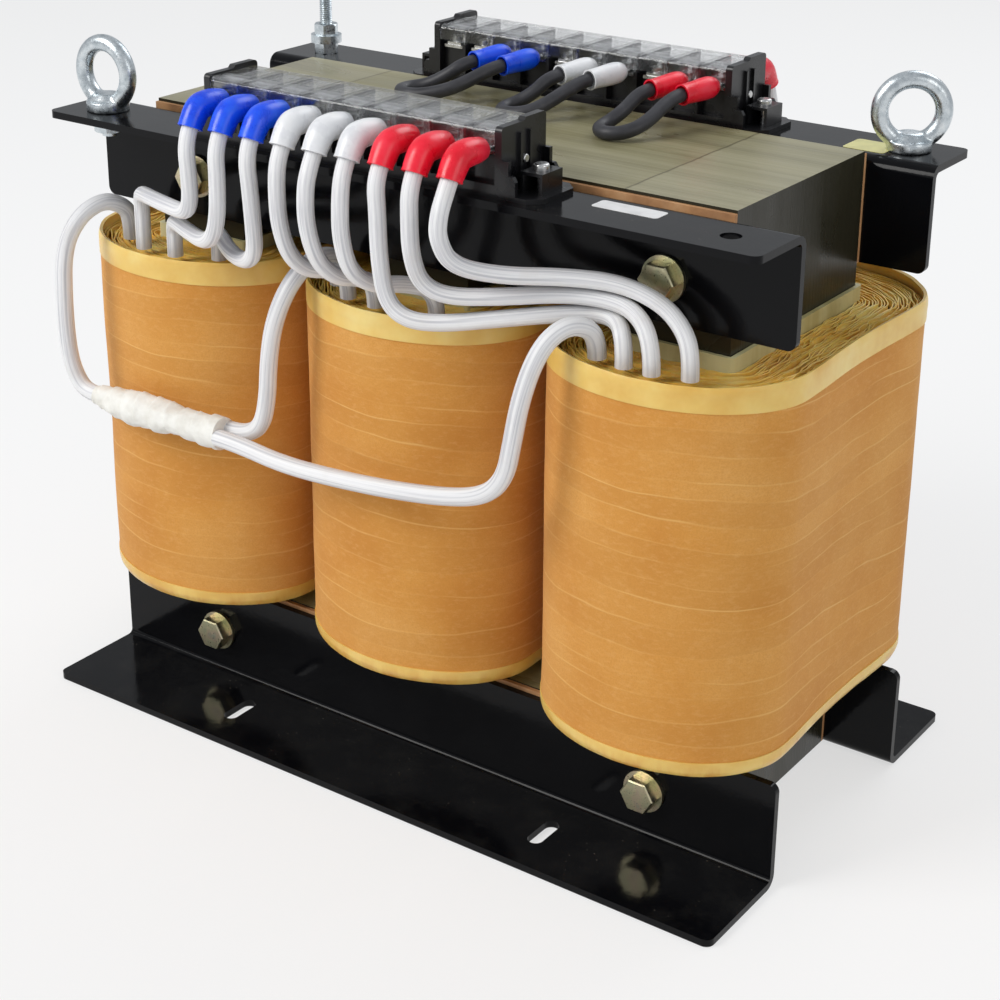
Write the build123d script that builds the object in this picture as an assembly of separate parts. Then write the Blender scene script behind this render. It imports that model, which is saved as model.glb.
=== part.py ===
from build123d import *
from math import cos, radians, sin, tan
import os

# Three-phase dry type transformer: a laminated core with three wound limbs between four steel
# angles, two barrier terminal blocks on top, and the leads between blocks and coils.
# Millimetres. +X runs along the three limbs, -Y is the side of the nine tapping leads, +Z is up,
# and the origin is on the floor below the middle of the core.

# Core
limb_width = 76.0
limb_pitch = 195.0
limb_count = 3
window_height = 288.0
yoke_height = 76.0
core_depth = 168.0
core_floor_gap = 4.0

# Steel angles that clamp the yokes
plate = 5.0
bend_radius = 4.0
corner_radius = 6.0
top_clamp_length = 560.0
top_web = 72.0
top_flange = 53.0
top_clamp_drop = 4.0
bottom_clamp_length = 572.0
bottom_web = 76.0
bottom_flange = 78.0
slot_length = 30.0
slot_width = 11.0
slot_x = 136.0

# Pressboard between the core and each angle
insulation = 3.0
top_insulation_stand = 2.0
bottom_insulation_stand = 3.0

# Through bolts of the yokes, M14, each in an insulating tube
bolt_x = 190.0
bolt_diameter = 14.0
bolt_drop = 44.0
bolt_rise = 38.0
bolt_head_flats = 22.0
bolt_head_height = 9.0
bolt_end_stand = 6.0
nut_height = 11.0
washer_diameter = 30.0
washer_thickness = 2.5
tube_wall = 1.5

# Coils: former, inner winding, outer winding, paper wrap and end bands
former_clearance = 0.6
former_wall = 3.0
former_top_gap = 15.0
inner_side_build = 22.0
inner_end_build = 30.0
inner_waist = 1.5
outer_side_build = 22.0
outer_end_build = 26.0
outer_waist = 2.5
shoulder = 78.0
coil_lift = 9.0
coil_top_gap = 16.0
collar_width = 6.0
collar_step = 3.0
winding_inset = 1.0
wrap_wall = 2.0
band_proud = 0.8
top_band = 17.0
bottom_band = 11.0

# Lifting eyes, M12, and the earth stud, M10
corner_hole_inset = 32.0
corner_hole_diameter = 13.0
eye_shank = 12.0
eye_ring_diameter = 54.0
eye_hole_diameter = 30.0
eye_height = 53.0
eye_collar_diameter = 30.0
eye_collar_height = 6.0
eye_neck_top = 10.0
eye_nut_flats = 19.0
eye_nut_height = 10.0
eye_shank_stand = 3.0
front_eye_angle = 0.0
rear_eye_angle = 34.0
earth_diameter = 10.0
earth_stand = 55.0
earth_head_flats = 17.0
earth_head_height = 6.5
earth_nut_height = 8.4
earth_washer_diameter = 24.0
earth_washer_thickness = 2.0
earth_washer_count = 3

# Barrier terminal blocks
block_depth = 47.0
block_seat = 22.0
slab_height = 8.0
pedestal_depth = 36.0
bar_level = 26.0
bar_thickness = 2.0
bar_width = 16.0
bar_length = 40.0
barrier = 2.5
barrier_height = 40.0
end_plate = 5.0
end_plate_height = 44.0
end_plate_step = 2.0
end_plate_round = 3.0
cover_wall = 2.0
cover_top_wall = 2.5
cover_lip_bottom = 32.0
cover_edge_round = 4.0
fin_width = 3.0
fin_proud = 2.5
fin_bottom = 31.0
ear_length = 26.0
ear_floor = 3.0
ear_corner = 8.0
boss_length = 16.0
boss_width = 22.0
boss_height = 16.0
boss_wall = 2.0
rib_thickness = 3.0
rib_steps = [(5.0, 24.0), (10.0, 15.0)]
web_rib_height = 38.0
web_rib_proud = 2.0
web_rib_gap = 10.0
terminal_screw_diameter = 5.0
terminal_head_diameter = 9.0
terminal_head_height = 4.0
terminal_screw_y = 13.0
terminal_washer = 12.0
lug_thickness = 2.0
lug_width = 12.0
marker_thickness = 0.8
marker_width = 9.0
marker_shift = 10.0
marker_gap = 1.0
block_screw_diameter = 5.0
block_screw_head = 10.0
block_screw_head_height = 4.0
block_screw_length = 27.0
link_screw_diameter = 3.0
link_screw_head = 5.5
link_screw_head_height = 2.4
link_screw_z = 21.0
front_block_x = -18.0
front_positions = 9
front_pitch = 26.0
rear_block_x = 4.5
rear_positions = 10
rear_pitch = 24.5

# Leads and their insulating boots
lead_diameter = 11.0
star_diameter = 12.0
jumper_diameter = 9.5
boot_diameter = 17.0
boot_straight = 12.0
boot_bend = 20.0
boot_angle = 60.0
boot_tail = 3.0
jumper_boot_diameter = 15.0
jumper_boot_length = 30.0
jumper_boot_knee = 6.0
jumper_lean = Vector(-8, -28, -2).normalized()
jumper_stub = 10.0
lead_stub = 10.0
entry_rise = 16.0
splice_neck = 7.0
splice_thick = 12.5
splice_thick_at = 38.0
splice_thin = 10.2
splice_thin_at = 86.0
splice_mouth = 12.4
arc_share = 0.45

# Clearances
slip = 0.3
thread_gap = 0.1
tube_gap = 0.3
web_hole_gap = 0.5

# Levels and faces that follow from the sizes above
window_width = limb_pitch - limb_width
core_width = (limb_count - 1) * limb_pitch + limb_width
window_bottom = core_floor_gap + yoke_height
window_top = window_bottom + window_height
core_top = window_top + yoke_height
clamp_top = core_top - top_clamp_drop
web_inner = core_depth / 2 + insulation
web_outer = web_inner + plate
top_flange_middle = web_outer + top_flange / 2
bottom_flange_middle = web_outer + bottom_flange / 2
corner_hole_x = top_clamp_length / 2 - corner_hole_inset
top_bolt_z = clamp_top - bolt_drop
core_bore = bolt_diameter + 2 * (tube_wall + 2 * tube_gap)
coil_bottom = window_bottom + coil_lift
coil_top = window_top - coil_top_gap
winding_top = coil_top - winding_inset - collar_step
cover_underside = barrier_height
cover_top = cover_underside + cover_top_wall
lug_level = bar_level + bar_thickness
screw_seat = lug_level + lug_thickness
limb_places = [(i - (limb_count - 1) / 2) * limb_pitch for i in range(limb_count)]
yoke_bolt_places = [(x, z) for z in (bolt_rise, top_bolt_z) for x in (-bolt_x, bolt_x)]


def hexagon(flats):
    """Regular hexagon by its width across flats."""
    return RegularPolygon(flats / 2, 6, major_radius=False)


def nut(flats, bore, height):
    """Hexagon nut standing on the origin, its corners taken off at both ends."""
    corners = Cylinder(flats / 2 * 1.12, height, align=(Align.CENTER, Align.CENTER, Align.MIN))
    corners = chamfer(corners.edges().filter_by(GeomType.CIRCLE), flats * 0.04)
    body = extrude(hexagon(flats), height) & corners
    return body - Cylinder(bore / 2, 3 * height)


def along_y(shape, x, y, z):
    """Stands a shape made along +Z on the point x, y, z so that it points to -Y."""
    return Pos(x, y, z) * Rot(90, 0, 0) * shape


def bolt_bores(diameter, depth):
    """Round bores along Y at the four yoke bolts."""
    return [along_y(Cylinder(diameter / 2, depth), x, 0, z) for x, z in yoke_bolt_places]


# ---- core ----
def core_stack():
    """Laminated core: three limbs and two yokes round two windows, bored for the bolts."""
    body = Pos(0, 0, core_floor_gap) * Box(
        core_width, core_depth, core_top - core_floor_gap, align=(Align.CENTER, Align.CENTER, Align.MIN)
    )
    for left, right in zip(limb_places, limb_places[1:]):
        body -= Pos((left + right) / 2, 0, window_bottom) * Box(
            window_width, core_depth * 2, window_height, align=(Align.CENTER, Align.CENTER, Align.MIN)
        )
    return body - bolt_bores(core_bore, core_depth * 2)


# ---- clamping angles and their insulation ----
def angle(length, web, flange):
    """Bent steel angle on the +Y side: web upright from the floor, flange turned outward."""
    reach = plate + flange
    section = make_face(
        Polyline((0, 0), (reach, 0), (reach, plate), (plate, plate), (plate, web), (0, web), close=True)
    )
    inside = section.vertices().sort_by_distance((plate, plate))[0]
    section = fillet(inside, bend_radius)
    outside = section.vertices().sort_by_distance((0, 0))[0]
    section = fillet(outside, bend_radius + plate)
    body = extrude(Plane.YZ * section, length / 2, both=True)
    body = fillet(body.edges().filter_by(Axis.Z).group_by(Axis.Y)[-1], corner_radius)
    body = fillet(body.edges().filter_by(Axis.Y).group_by(Axis.Z)[-1], corner_radius)
    return Pos(0, web_inner, 0) * body


def block_screw_places():
    """Where the four ear screws stand: x and y on the top flanges."""
    places = []
    for side, middle, count, pitch in (
        (-1, front_block_x, front_positions, front_pitch),
        (1, rear_block_x, rear_positions, rear_pitch),
    ):
        reach = (count * pitch + end_plate + ear_length) / 2
        places += [(middle + end * reach, side * (web_outer + block_seat)) for end in (-1, 1)]
    return places


def top_clamp(side):
    """Upper angle with its flange at the top; side is -1 at the front and 1 at the rear."""
    body = Pos(0, 0, clamp_top) * mirror(angle(top_clamp_length, top_web, top_flange), Plane.XY)
    if side < 0:
        body = Rot(0, 0, 180) * body
    body -= bolt_bores(bolt_diameter + 2 * web_hole_gap, core_depth * 3)
    for end in (-1, 1):
        body -= Pos(end * corner_hole_x, side * top_flange_middle, clamp_top) * Cylinder(
            corner_hole_diameter / 2, plate * 4
        )
    for x, y in block_screw_places():
        body -= Pos(x, y, clamp_top) * Cylinder(block_screw_diameter / 2 + thread_gap, plate * 4)
    return body


def bottom_clamp(side):
    """Lower angle that carries the transformer, with two slots across its flange."""
    body = angle(bottom_clamp_length, bottom_web, bottom_flange)
    if side < 0:
        body = Rot(0, 0, 180) * body
    body -= bolt_bores(bolt_diameter + 2 * web_hole_gap, core_depth * 3)
    slot = extrude(SlotOverall(slot_length, slot_width, rotation=90), plate * 2, both=True)
    for end in (-1, 1):
        body -= Pos(end * slot_x, side * bottom_flange_middle, 0) * slot
    return body


def insulation_pair(low, high):
    """Two pressboard strips, front and rear, between the core and the webs."""
    strips = []
    for side in (-1, 1):
        strip = Pos(0, side * (core_depth + insulation) / 2, low) * Box(
            core_width, insulation, high - low, align=(Align.CENTER, Align.CENTER, Align.MIN)
        )
        strips.append(strip - bolt_bores(core_bore, core_depth * 2))
    return strips


# ---- yoke bolts ----
def yoke_bolts():
    """Hexagon bolts through both webs and the core, heads to the front."""
    head = chamfer(
        extrude(hexagon(bolt_head_flats), bolt_head_height).faces().sort_by(Axis.Z)[-1].edges(), 0.8
    )
    shank_length = 2 * web_outer + 2 * washer_thickness + nut_height + bolt_end_stand
    shank = Pos(0, 0, -shank_length) * Cylinder(
        bolt_diameter / 2, shank_length, align=(Align.CENTER, Align.CENTER, Align.MIN)
    )
    return [along_y(head + shank, x, -web_outer - washer_thickness, z) for x, z in yoke_bolt_places]


def yoke_nuts():
    """Nuts on the rear ends of the yoke bolts."""
    piece = nut(bolt_head_flats, bolt_diameter + 2 * thread_gap, nut_height)
    rear = web_outer + washer_thickness + nut_height
    return [along_y(piece, x, rear, z) for x, z in yoke_bolt_places]


def yoke_washers():
    """Plain washers below every bolt head and nut."""
    piece = Cylinder(washer_diameter / 2, washer_thickness, align=(Align.CENTER, Align.CENTER, Align.MIN))
    piece -= Cylinder(bolt_diameter / 2 + web_hole_gap, washer_thickness * 4)
    return [
        along_y(piece, x, y, z)
        for x, z in yoke_bolt_places
        for y in (-web_outer, web_outer + washer_thickness)
    ]


def bolt_tubes():
    """Insulating tubes round the bolts inside the core and the pressboard."""
    piece = Cylinder(bolt_diameter / 2 + tube_gap + tube_wall, 2 * web_inner)
    piece -= Cylinder(bolt_diameter / 2 + tube_gap, 4 * web_inner)
    return [along_y(piece, x, 0, z) for x, z in yoke_bolt_places]


# ---- coils ----
former_half_width = limb_width / 2 + former_clearance + former_wall
former_half_depth = core_depth / 2 + former_clearance + former_wall
inner_half_width = former_half_width + inner_side_build
inner_reach = former_half_depth + inner_end_build
outer_half_width = inner_half_width + outer_side_build
outer_reach = inner_reach + outer_end_build
wrap_half_width = outer_half_width + slip + wrap_wall
wrap_reach = outer_reach + slip + wrap_wall


def oblong(half_width, reach, waist):
    """Outline of a coil from above: elliptical ends, and sides drawn in by waist at the middle."""
    end_length = reach - shoulder
    front = EllipticalCenterArc((0, -shoulder), half_width, end_length, start_angle=180, arc_size=180)
    rear = EllipticalCenterArc((0, shoulder), half_width, end_length, start_angle=0, arc_size=180)
    sides = [
        Spline(
            (side * half_width, -shoulder),
            (side * (half_width - waist), 0),
            (side * half_width, shoulder),
            tangents=((0, 1), (0, 1)),
        )
        for side in (-1, 1)
    ]
    return make_face([front, rear, *sides])


def ring(outer, inner, low, high):
    """Upright ring between two outlines and two levels."""
    return Pos(0, 0, low) * extrude(outer - inner, high - low)


def former():
    """Insulating tube round the limb that the windings are wound on; it stands on the lower yoke."""
    outer = RectangleRounded(2 * former_half_width, 2 * former_half_depth, former_wall)
    hole = Rectangle(limb_width + 2 * former_clearance, core_depth + 2 * former_clearance)
    return ring(outer, hole, window_bottom, window_top - former_top_gap)


def inner_winding():
    """Low voltage winding, next to the former."""
    hole = RectangleRounded(
        2 * (former_half_width + slip), 2 * (former_half_depth + slip), former_wall + slip
    )
    outer = oblong(inner_half_width, inner_reach, inner_waist)
    return ring(outer, hole, coil_bottom + collar_step, winding_top)


def outer_winding():
    """High voltage winding with a raised paper collar along its outer edge at both ends."""
    hole = oblong(inner_half_width + slip, inner_reach + slip, inner_waist)
    outer = oblong(outer_half_width, outer_reach, outer_waist)
    collar_hole = oblong(outer_half_width - collar_width, outer_reach - collar_width, outer_waist)
    body = ring(outer, hole, coil_bottom + winding_inset + collar_step, winding_top)
    return body + ring(outer, collar_hole, coil_bottom + winding_inset, coil_top - winding_inset)


def wrap_ring(proud, low, high):
    """Paper ring round the outer winding."""
    hole = oblong(outer_half_width + slip, outer_reach + slip, outer_waist)
    outer = oblong(wrap_half_width + proud, wrap_reach + proud, outer_waist)
    return ring(outer, hole, low, high)


def outer_wrap():
    """Brown crepe paper wrap between the two end bands."""
    return wrap_ring(0, coil_bottom + bottom_band + slip, coil_top - top_band - slip)


def end_bands():
    """Yellow bands that close the wrap at the bottom and the top."""
    return [
        wrap_ring(band_proud, coil_bottom, coil_bottom + bottom_band),
        wrap_ring(band_proud, coil_top - top_band, coil_top),
    ]


# ---- lifting eyes and earth stud ----
def eye_bolt(x, y, turn):
    """Lifting eye bolt: collar, tapered neck, ring and shank."""
    ring_section = (eye_ring_diameter - eye_hole_diameter) / 4
    ring_middle = eye_height - eye_ring_diameter / 2
    upright = (Align.CENTER, Align.CENTER, Align.MIN)
    body = Cylinder(eye_collar_diameter / 2, eye_collar_height, align=upright)
    neck_height = eye_neck_top - eye_collar_height
    body += Pos(0, 0, eye_collar_height) * Cone(
        eye_collar_diameter / 2 - 2, ring_section * 1.5, neck_height, align=upright
    )
    ring_body = Pos(0, 0, ring_middle) * Rot(90, 0, 0) * Torus(
        eye_ring_diameter / 2 - ring_section, ring_section
    )
    body += ring_body & Box(eye_ring_diameter * 2, eye_ring_diameter * 2, eye_height * 2, align=upright)
    shank_length = plate + eye_nut_height + eye_shank_stand
    body += Pos(0, 0, -shank_length) * Cylinder(eye_shank / 2, shank_length, align=upright)
    return Pos(x, y, clamp_top) * Rot(0, 0, turn) * body


def eye_nuts():
    """Nuts of both lifting eyes below the top flanges."""
    piece = nut(eye_nut_flats, eye_shank + 2 * thread_gap, eye_nut_height)
    under = clamp_top - plate - eye_nut_height
    return [Pos(side * corner_hole_x, side * top_flange_middle, under) * piece for side in (-1, 1)]


def earth_stud():
    """Earth bolt that stands up through the rear left corner hole."""
    head = Pos(0, 0, -plate - earth_head_height) * extrude(hexagon(earth_head_flats), earth_head_height)
    shank = Pos(0, 0, -plate) * Cylinder(
        earth_diameter / 2, plate + earth_stand, align=(Align.CENTER, Align.CENTER, Align.MIN)
    )
    shank = chamfer(shank.edges().group_by(Axis.Z)[-1], 1.0)
    return Pos(-corner_hole_x, top_flange_middle, clamp_top) * (head + shank)


def earth_hardware():
    """Lock nut, washers and clamp nut stacked on the earth bolt."""
    bore = earth_diameter + 2 * thread_gap
    lock_nut = nut(earth_head_flats, bore, earth_nut_height)
    washer = Cylinder(
        earth_washer_diameter / 2, earth_washer_thickness, align=(Align.CENTER, Align.CENTER, Align.MIN)
    )
    washer -= Cylinder(bore / 2, earth_washer_thickness * 4)
    pieces = [lock_nut]
    for i in range(earth_washer_count):
        pieces.append(Pos(0, 0, earth_nut_height + i * earth_washer_thickness) * washer)
    stack = earth_nut_height + earth_washer_count * earth_washer_thickness
    pieces.append(Pos(0, 0, stack) * lock_nut)
    place = Pos(-corner_hole_x, top_flange_middle, clamp_top)
    return [place * piece for piece in pieces]


# ---- terminal blocks ----
def block_place(side):
    """Origin of a block: the middle of its underside on the top flange."""
    middle = front_block_x if side < 0 else rear_block_x
    return Pos(middle, side * (web_outer + block_seat), clamp_top)


def wall_places(count, pitch):
    """X of every barrier, the two end plates included."""
    return [(i - count / 2) * pitch for i in range(count + 1)]


def slice_yz(points, x, thickness):
    """Plate of the given outline in Y and Z, centred on x."""
    face = make_face(Polyline(*points, close=True))
    return Pos(x, 0, 0) * extrude(Plane.YZ * face, thickness / 2, both=True)


def ear(end):
    """Fixing ear: floor plate, hollow boss that is open to the front, and stepped ribs at both edges."""
    upright = (Align.CENTER, Align.CENTER, Align.MIN)
    middle = Pos(ear_length / 2, 0, 0)
    body = middle * Box(ear_length, block_depth, ear_floor, align=upright)
    body = chamfer(body.edges().filter_by(Axis.Z).group_by(Axis.X)[-1], ear_corner)
    body += middle * Box(boss_length, boss_width, boss_height, align=upright)
    body -= middle * Pos(0, -boss_wall, ear_floor) * Box(
        boss_length - 2 * boss_wall, boss_width, boss_height - ear_floor - boss_wall, align=upright
    )
    body -= middle * Cylinder(block_screw_diameter / 2 + thread_gap, boss_height * 3)
    (near, tall), (far, low) = rib_steps
    rib = Polyline((0, 0), (far, 0), (far, low - 3), (far - 2, low), (near, low), (near, tall), (0, tall), close=True)
    rib = extrude(Plane.XZ * make_face(rib), rib_thickness / 2, both=True)
    for side in (-1, 1):
        body += Pos(0, side * (block_depth - rib_thickness) / 2, 0) * rib
        body += Pos(0, side * web_rib_gap / 2, 0) * Box(
            web_rib_proud, web_rib_proud, web_rib_height, align=(Align.MIN, Align.CENTER, Align.MIN)
        )
    return body if end > 0 else mirror(body, Plane.YZ)


def block_base(count, pitch):
    """Moulded base: slab, pedestal below the bars, barriers, end plates and ears, in one piece."""
    half = block_depth / 2
    length = count * pitch
    upright = (Align.CENTER, Align.CENTER, Align.MIN)
    body = Box(length, block_depth, slab_height, align=upright)
    body += Box(length, pedestal_depth, bar_level, align=upright)
    shelf = half - cover_wall - slip
    barrier_outline = [
        (-half, 0), (half, 0), (half, fin_bottom - 1), (shelf, fin_bottom - 1), (shelf, barrier_height),
        (-shelf, barrier_height), (-shelf, fin_bottom - 1), (-half, fin_bottom - 1),
    ]
    walls = wall_places(count, pitch)
    for x in walls[1:-1]:
        body += slice_yz(barrier_outline, x, barrier)
    raised = end_plate_height + end_plate_step
    end_outline = [
        (-half, 0), (half, 0), (half, raised), (end_plate_step, raised), (0, end_plate_height),
        (-half, end_plate_height),
    ]
    for end, x in ((-1, walls[0]), (1, walls[-1])):
        plate_body = slice_yz(end_outline, x, end_plate)
        long_edges = plate_body.edges().filter_by(Axis.X)
        top_corners = [long_edges.group_by(Axis.Y)[i].sort_by(Axis.Z)[-1] for i in (0, -1)]
        plate_body = fillet(top_corners, end_plate_round)
        body += plate_body
        body += Pos(x + end * end_plate / 2, 0, 0) * ear(end)
        body -= Pos(x, 0, link_screw_z) * Rot(0, 90, 0) * Cylinder(
            link_screw_diameter / 2 + thread_gap, end_plate + 1
        )
    return body


def block_cover(count, pitch):
    """Clear cover: a channel over the barriers with a small fin at each of them."""
    half = block_depth / 2
    length = count * pitch - end_plate - 2 * slip
    channel = Pos(0, 0, cover_lip_bottom) * Box(
        length, block_depth, cover_top - cover_lip_bottom, align=(Align.CENTER, Align.CENTER, Align.MIN)
    )
    channel = fillet(channel.edges().filter_by(Axis.X).group_by(Axis.Z)[-1], cover_edge_round)
    channel -= Pos(0, 0, cover_lip_bottom - 1) * Box(
        length * 2,
        block_depth - 2 * cover_wall,
        cover_underside - cover_lip_bottom + 1,
        align=(Align.CENTER, Align.CENTER, Align.MIN),
    )
    fin = Box(
        fin_width,
        fin_proud + cover_wall / 2,
        cover_underside - cover_lip_bottom,
        align=(Align.CENTER, Align.MIN, Align.MIN),
    )
    for x in wall_places(count, pitch)[1:-1]:
        for turn in (0, 180):
            channel += Pos(x, 0, 0) * Rot(0, 0, turn) * Pos(0, half - cover_wall / 2, cover_lip_bottom) * fin
    return channel


def terminal_x(count, pitch, position):
    """X of a terminal in its block, positions counted from 1 at the left."""
    return (position - 0.5 - count / 2) * pitch


def markers(count, pitch):
    """White marker cards held below the cover, one for each terminal."""
    card = Box(
        pitch - end_plate - marker_gap, marker_width, marker_thickness, align=(Align.CENTER, Align.CENTER, Align.MAX)
    )
    return [
        Pos(terminal_x(count, pitch, i + 1), -marker_shift, cover_underside) * card for i in range(count)
    ]


def terminals(count, pitch, wired_front, wired_rear):
    """Current bars with their clamping screws; square washers where no lug is fitted."""
    upright = (Align.CENTER, Align.CENTER, Align.MIN)
    pieces = []
    for i in range(count):
        body = Pos(0, 0, bar_level) * Box(bar_width, bar_length, bar_thickness, align=upright)
        for side, wired in ((-1, wired_front), (1, wired_rear)):
            place = Pos(0, side * terminal_screw_y, lug_level)
            body += place * Cylinder(
                terminal_screw_diameter / 2, lug_thickness + terminal_head_height, align=upright
            )
            body += place * Pos(0, 0, lug_thickness) * Cylinder(
                terminal_head_diameter / 2, terminal_head_height, align=upright
            )
            if i + 1 not in wired:
                body += place * Box(terminal_washer, terminal_washer, lug_thickness, align=upright)
        pieces.append(Pos(terminal_x(count, pitch, i + 1), 0, 0) * body)
    return pieces


def lug(side):
    """Flat cable lug from under the screw head out to the boot."""
    outer = block_depth / 2 + slip
    body = Pos(0, side * (terminal_screw_y + outer) / 2, lug_level) * Box(
        lug_width, outer - terminal_screw_y, lug_thickness, align=(Align.CENTER, Align.CENTER, Align.MIN)
    )
    place = Pos(0, side * terminal_screw_y, lug_level)
    body += place * Cylinder(lug_width / 2, lug_thickness, align=(Align.CENTER, Align.CENTER, Align.MIN))
    return body - place * Cylinder(terminal_screw_diameter / 2 + thread_gap, lug_thickness * 4)


def block_screws():
    """Pan head screws that hold the ears of both blocks to the flanges."""
    upright = (Align.CENTER, Align.CENTER, Align.MIN)
    head = Cylinder(block_screw_head / 2, block_screw_head_height, align=upright)
    head = fillet(head.edges().group_by(Axis.Z)[-1], 1.5)
    shank = Pos(0, 0, -block_screw_length) * Cylinder(
        block_screw_diameter / 2, block_screw_length, align=upright
    )
    return [Pos(x, y, clamp_top + boss_height) * (head + shank) for x, y in block_screw_places()]


def link_screws():
    """Small screws through the end plates of both blocks, into their outermost walls."""
    upright = (Align.CENTER, Align.CENTER, Align.MIN)
    head = Cylinder(link_screw_head / 2, link_screw_head_height, align=upright)
    head = fillet(head.edges().group_by(Axis.Z)[-1], 0.8)
    shank = Pos(0, 0, -end_plate) * Cylinder(link_screw_diameter / 2, end_plate, align=upright)
    pieces = []
    for side, count, pitch in ((-1, front_positions, front_pitch), (1, rear_positions, rear_pitch)):
        for end in (-1, 1):
            place = Pos(end * (count * pitch + end_plate) / 2, 0, link_screw_z) * Rot(0, end * 90, 0)
            pieces.append(block_place(side) * place * (head + shank))
    return pieces


# ---- boots and leads ----
def lug_end(side, position, toward):
    """Point where a boot starts: the outer end of a lug, toward -1 to the front, 1 to the rear."""
    count, pitch = (front_positions, front_pitch) if side < 0 else (rear_positions, rear_pitch)
    local = (
        terminal_x(count, pitch, position),
        toward * (block_depth / 2 + slip),
        lug_level + lug_thickness / 2,
    )
    return block_place(side).position + Vector(local)


def boot_path(start, toward):
    """Centre line of an elbow boot: out of the block, then down."""
    turned = radians(boot_angle)
    bend_start = start + Vector(0, toward * boot_straight, 0)
    bend_end = bend_start + Vector(0, toward * boot_bend * sin(turned), -boot_bend * (1 - cos(turned)))
    tip = bend_end + Vector(0, toward * boot_tail * cos(turned), -boot_tail * sin(turned))
    bend = TangentArc(bend_start, bend_end, tangent=(0, toward, 0))
    return Line(start, bend_start) + bend + Line(bend_end, tip), tip, (tip - bend_end).normalized()


def elbow_boot(start, toward):
    """Soft insulating boot over a lug and the first of its lead."""
    path, _, _ = boot_path(start, toward)
    return sweep(Plane(origin=start, z_dir=(0, toward, 0)) * Circle(boot_diameter / 2), path=path)


def jumper_boot_points(start):
    """Start, knee and far end of a boot that leans down and to the left."""
    knee = start + Vector(0, -jumper_boot_knee, 0)
    return start, knee, knee + jumper_lean * (jumper_boot_length - jumper_boot_knee)


def jumper_boot(start):
    """Insulating boot of a jumper cable."""
    path = FilletPolyline(*jumper_boot_points(start), radius=jumper_boot_diameter)
    return sweep(Plane(origin=start, z_dir=(0, -1, 0)) * Circle(jumper_boot_diameter / 2), path=path)


def entry(place):
    """Last run of a lead, straight down into the top of an outer winding."""
    return [(*place, winding_top + entry_rise), (*place, winding_top)]


def above_coils(points):
    """Points whose height was given above the tops of the coils."""
    return [(x, y, coil_top + height) for x, y, height in points]


def cord(points, diameter):
    """Round lead along its route: straight runs joined by arcs as large as the runs allow."""
    points = [Vector(p) for p in points]
    radii = []
    for before, corner, after in zip(points, points[1:], points[2:]):
        turn = radians((corner - before).get_angle(after - corner))
        shorter = min((corner - before).length, (after - corner).length)
        radii.append(arc_share * shorter / tan(turn / 2))
    path = FilletPolyline(*points, radius=radii)
    body = sweep(Plane(origin=path @ 0, z_dir=path % 0) * Circle(diameter / 2), path=path)
    section = Circle(diameter / 2).area
    print("length", round(path.length, 1), "volume share", round(body.volume / section / path.length, 4),
          "radii", [round(r) for r in radii])
    return body


# Routes of the nine tapping leads, from below the boot to where the lead enters its coil. The
# third number of every point here is its height above the tops of the coils
front_routes = {
    1: [(-122, -172, 73), (-122.5, -171, 56), (-130, -168, 46), (-150, -160, 44), (-185, -146, 42),
        (-205, -134, 39), (-211, -128, 28)],
    2: [(-96, -173, 76), (-97, -173, 52), (-103, -171, 36), (-118, -164, 27), (-145, -151, 26),
        (-168, -139, 26), (-179, -130, 20)],
    3: [(-70, -171, 73), (-71, -168, 48), (-74, -164, 28), (-86, -159, 18), (-110, -148, 16.5),
        (-140, -127, 20)],
    4: [(-44, -175, 78), (-44, -174, 56), (-42, -168, 34), (-37, -157, 22), (-31, -141, 19)],
    5: [(-18, -178, 83), (-18, -178, 60), (-15, -172, 36), (-10, -160, 23), (-6, -143, 19)],
    6: [(8, -176, 78), (8, -176, 56), (10, -170, 33), (17, -156, 22), (27, -136, 20)],
    7: [(34, -172, 78), (34, -171, 48), (37, -169, 20), (50, -166, 9), (70, -157, 8), (100, -142, 13),
        (130, -126, 18), (154, -115, 21), (172, -115, 21)],
    8: [(60, -174, 78), (60, -173, 56), (63, -168, 36), (76, -158, 27), (104, -141, 28), (140, -124, 33),
        (172, -117, 33), (191, -119, 27)],
    9: [(86, -179, 86), (86, -181, 72), (91, -174, 54), (112, -152, 46), (144, -130, 46), (176, -118, 45),
        (203, -115, 37), (219, -117, 25)],
}
front_entries = {
    1: (-212, -127), 2: (-182, -127), 3: (-152, -115), 4: (-29, -125), 5: (-4, -128), 6: (38, -118),
    7: (184, -126), 8: (204, -127), 9: (227, -121),
}
# The one rear lead that is in sight, from the tenth rear terminal to the right coil
rear_route = [(119, 173, 73), (120, 171, 48), (129, 164, 28), (148, 150, 19), (167, 137, 19)]
rear_entry = (181, 127)
# Star point: the three coils' leads meet in a taped splice that lies along X
splice_start = (-232, -161, -109)
splice_end = (-112, -161, -109)
star_entries = {"left": (-236, -115), "middle": (-52, -107), "right": (162.5, -122)}
star_routes = {
    "left": [splice_start, (-243, -161, -109), (-252, -162, -99), (-256, -164, -80), (-257, -164, -45),
             (-256, -162, -4), (-250, -151, 18), (-243, -134, 27), (-238, -120, 21)],
    "middle": [(-112, -154.8, -108), (-98, -154.8, -108), (-84, -153, -100), (-76, -155, -77),
               (-72, -157, -47), (-65, -158, -18), (-58, -150, 6), (-54, -133, 19), (-52, -116, 19)],
    "right": [(-112, -167.2, -110), (-94, -167.2, -110), (-54, -166, -115.5), (-7, -164, -114.5),
              (40, -164, -110), (84, -164, -103), (111, -164, -94), (125, -164, -78), (130, -164, -53),
              (134, -162, -26), (140, -157, -1), (146, -148, 14), (154, -136, 20)],
}
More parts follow.
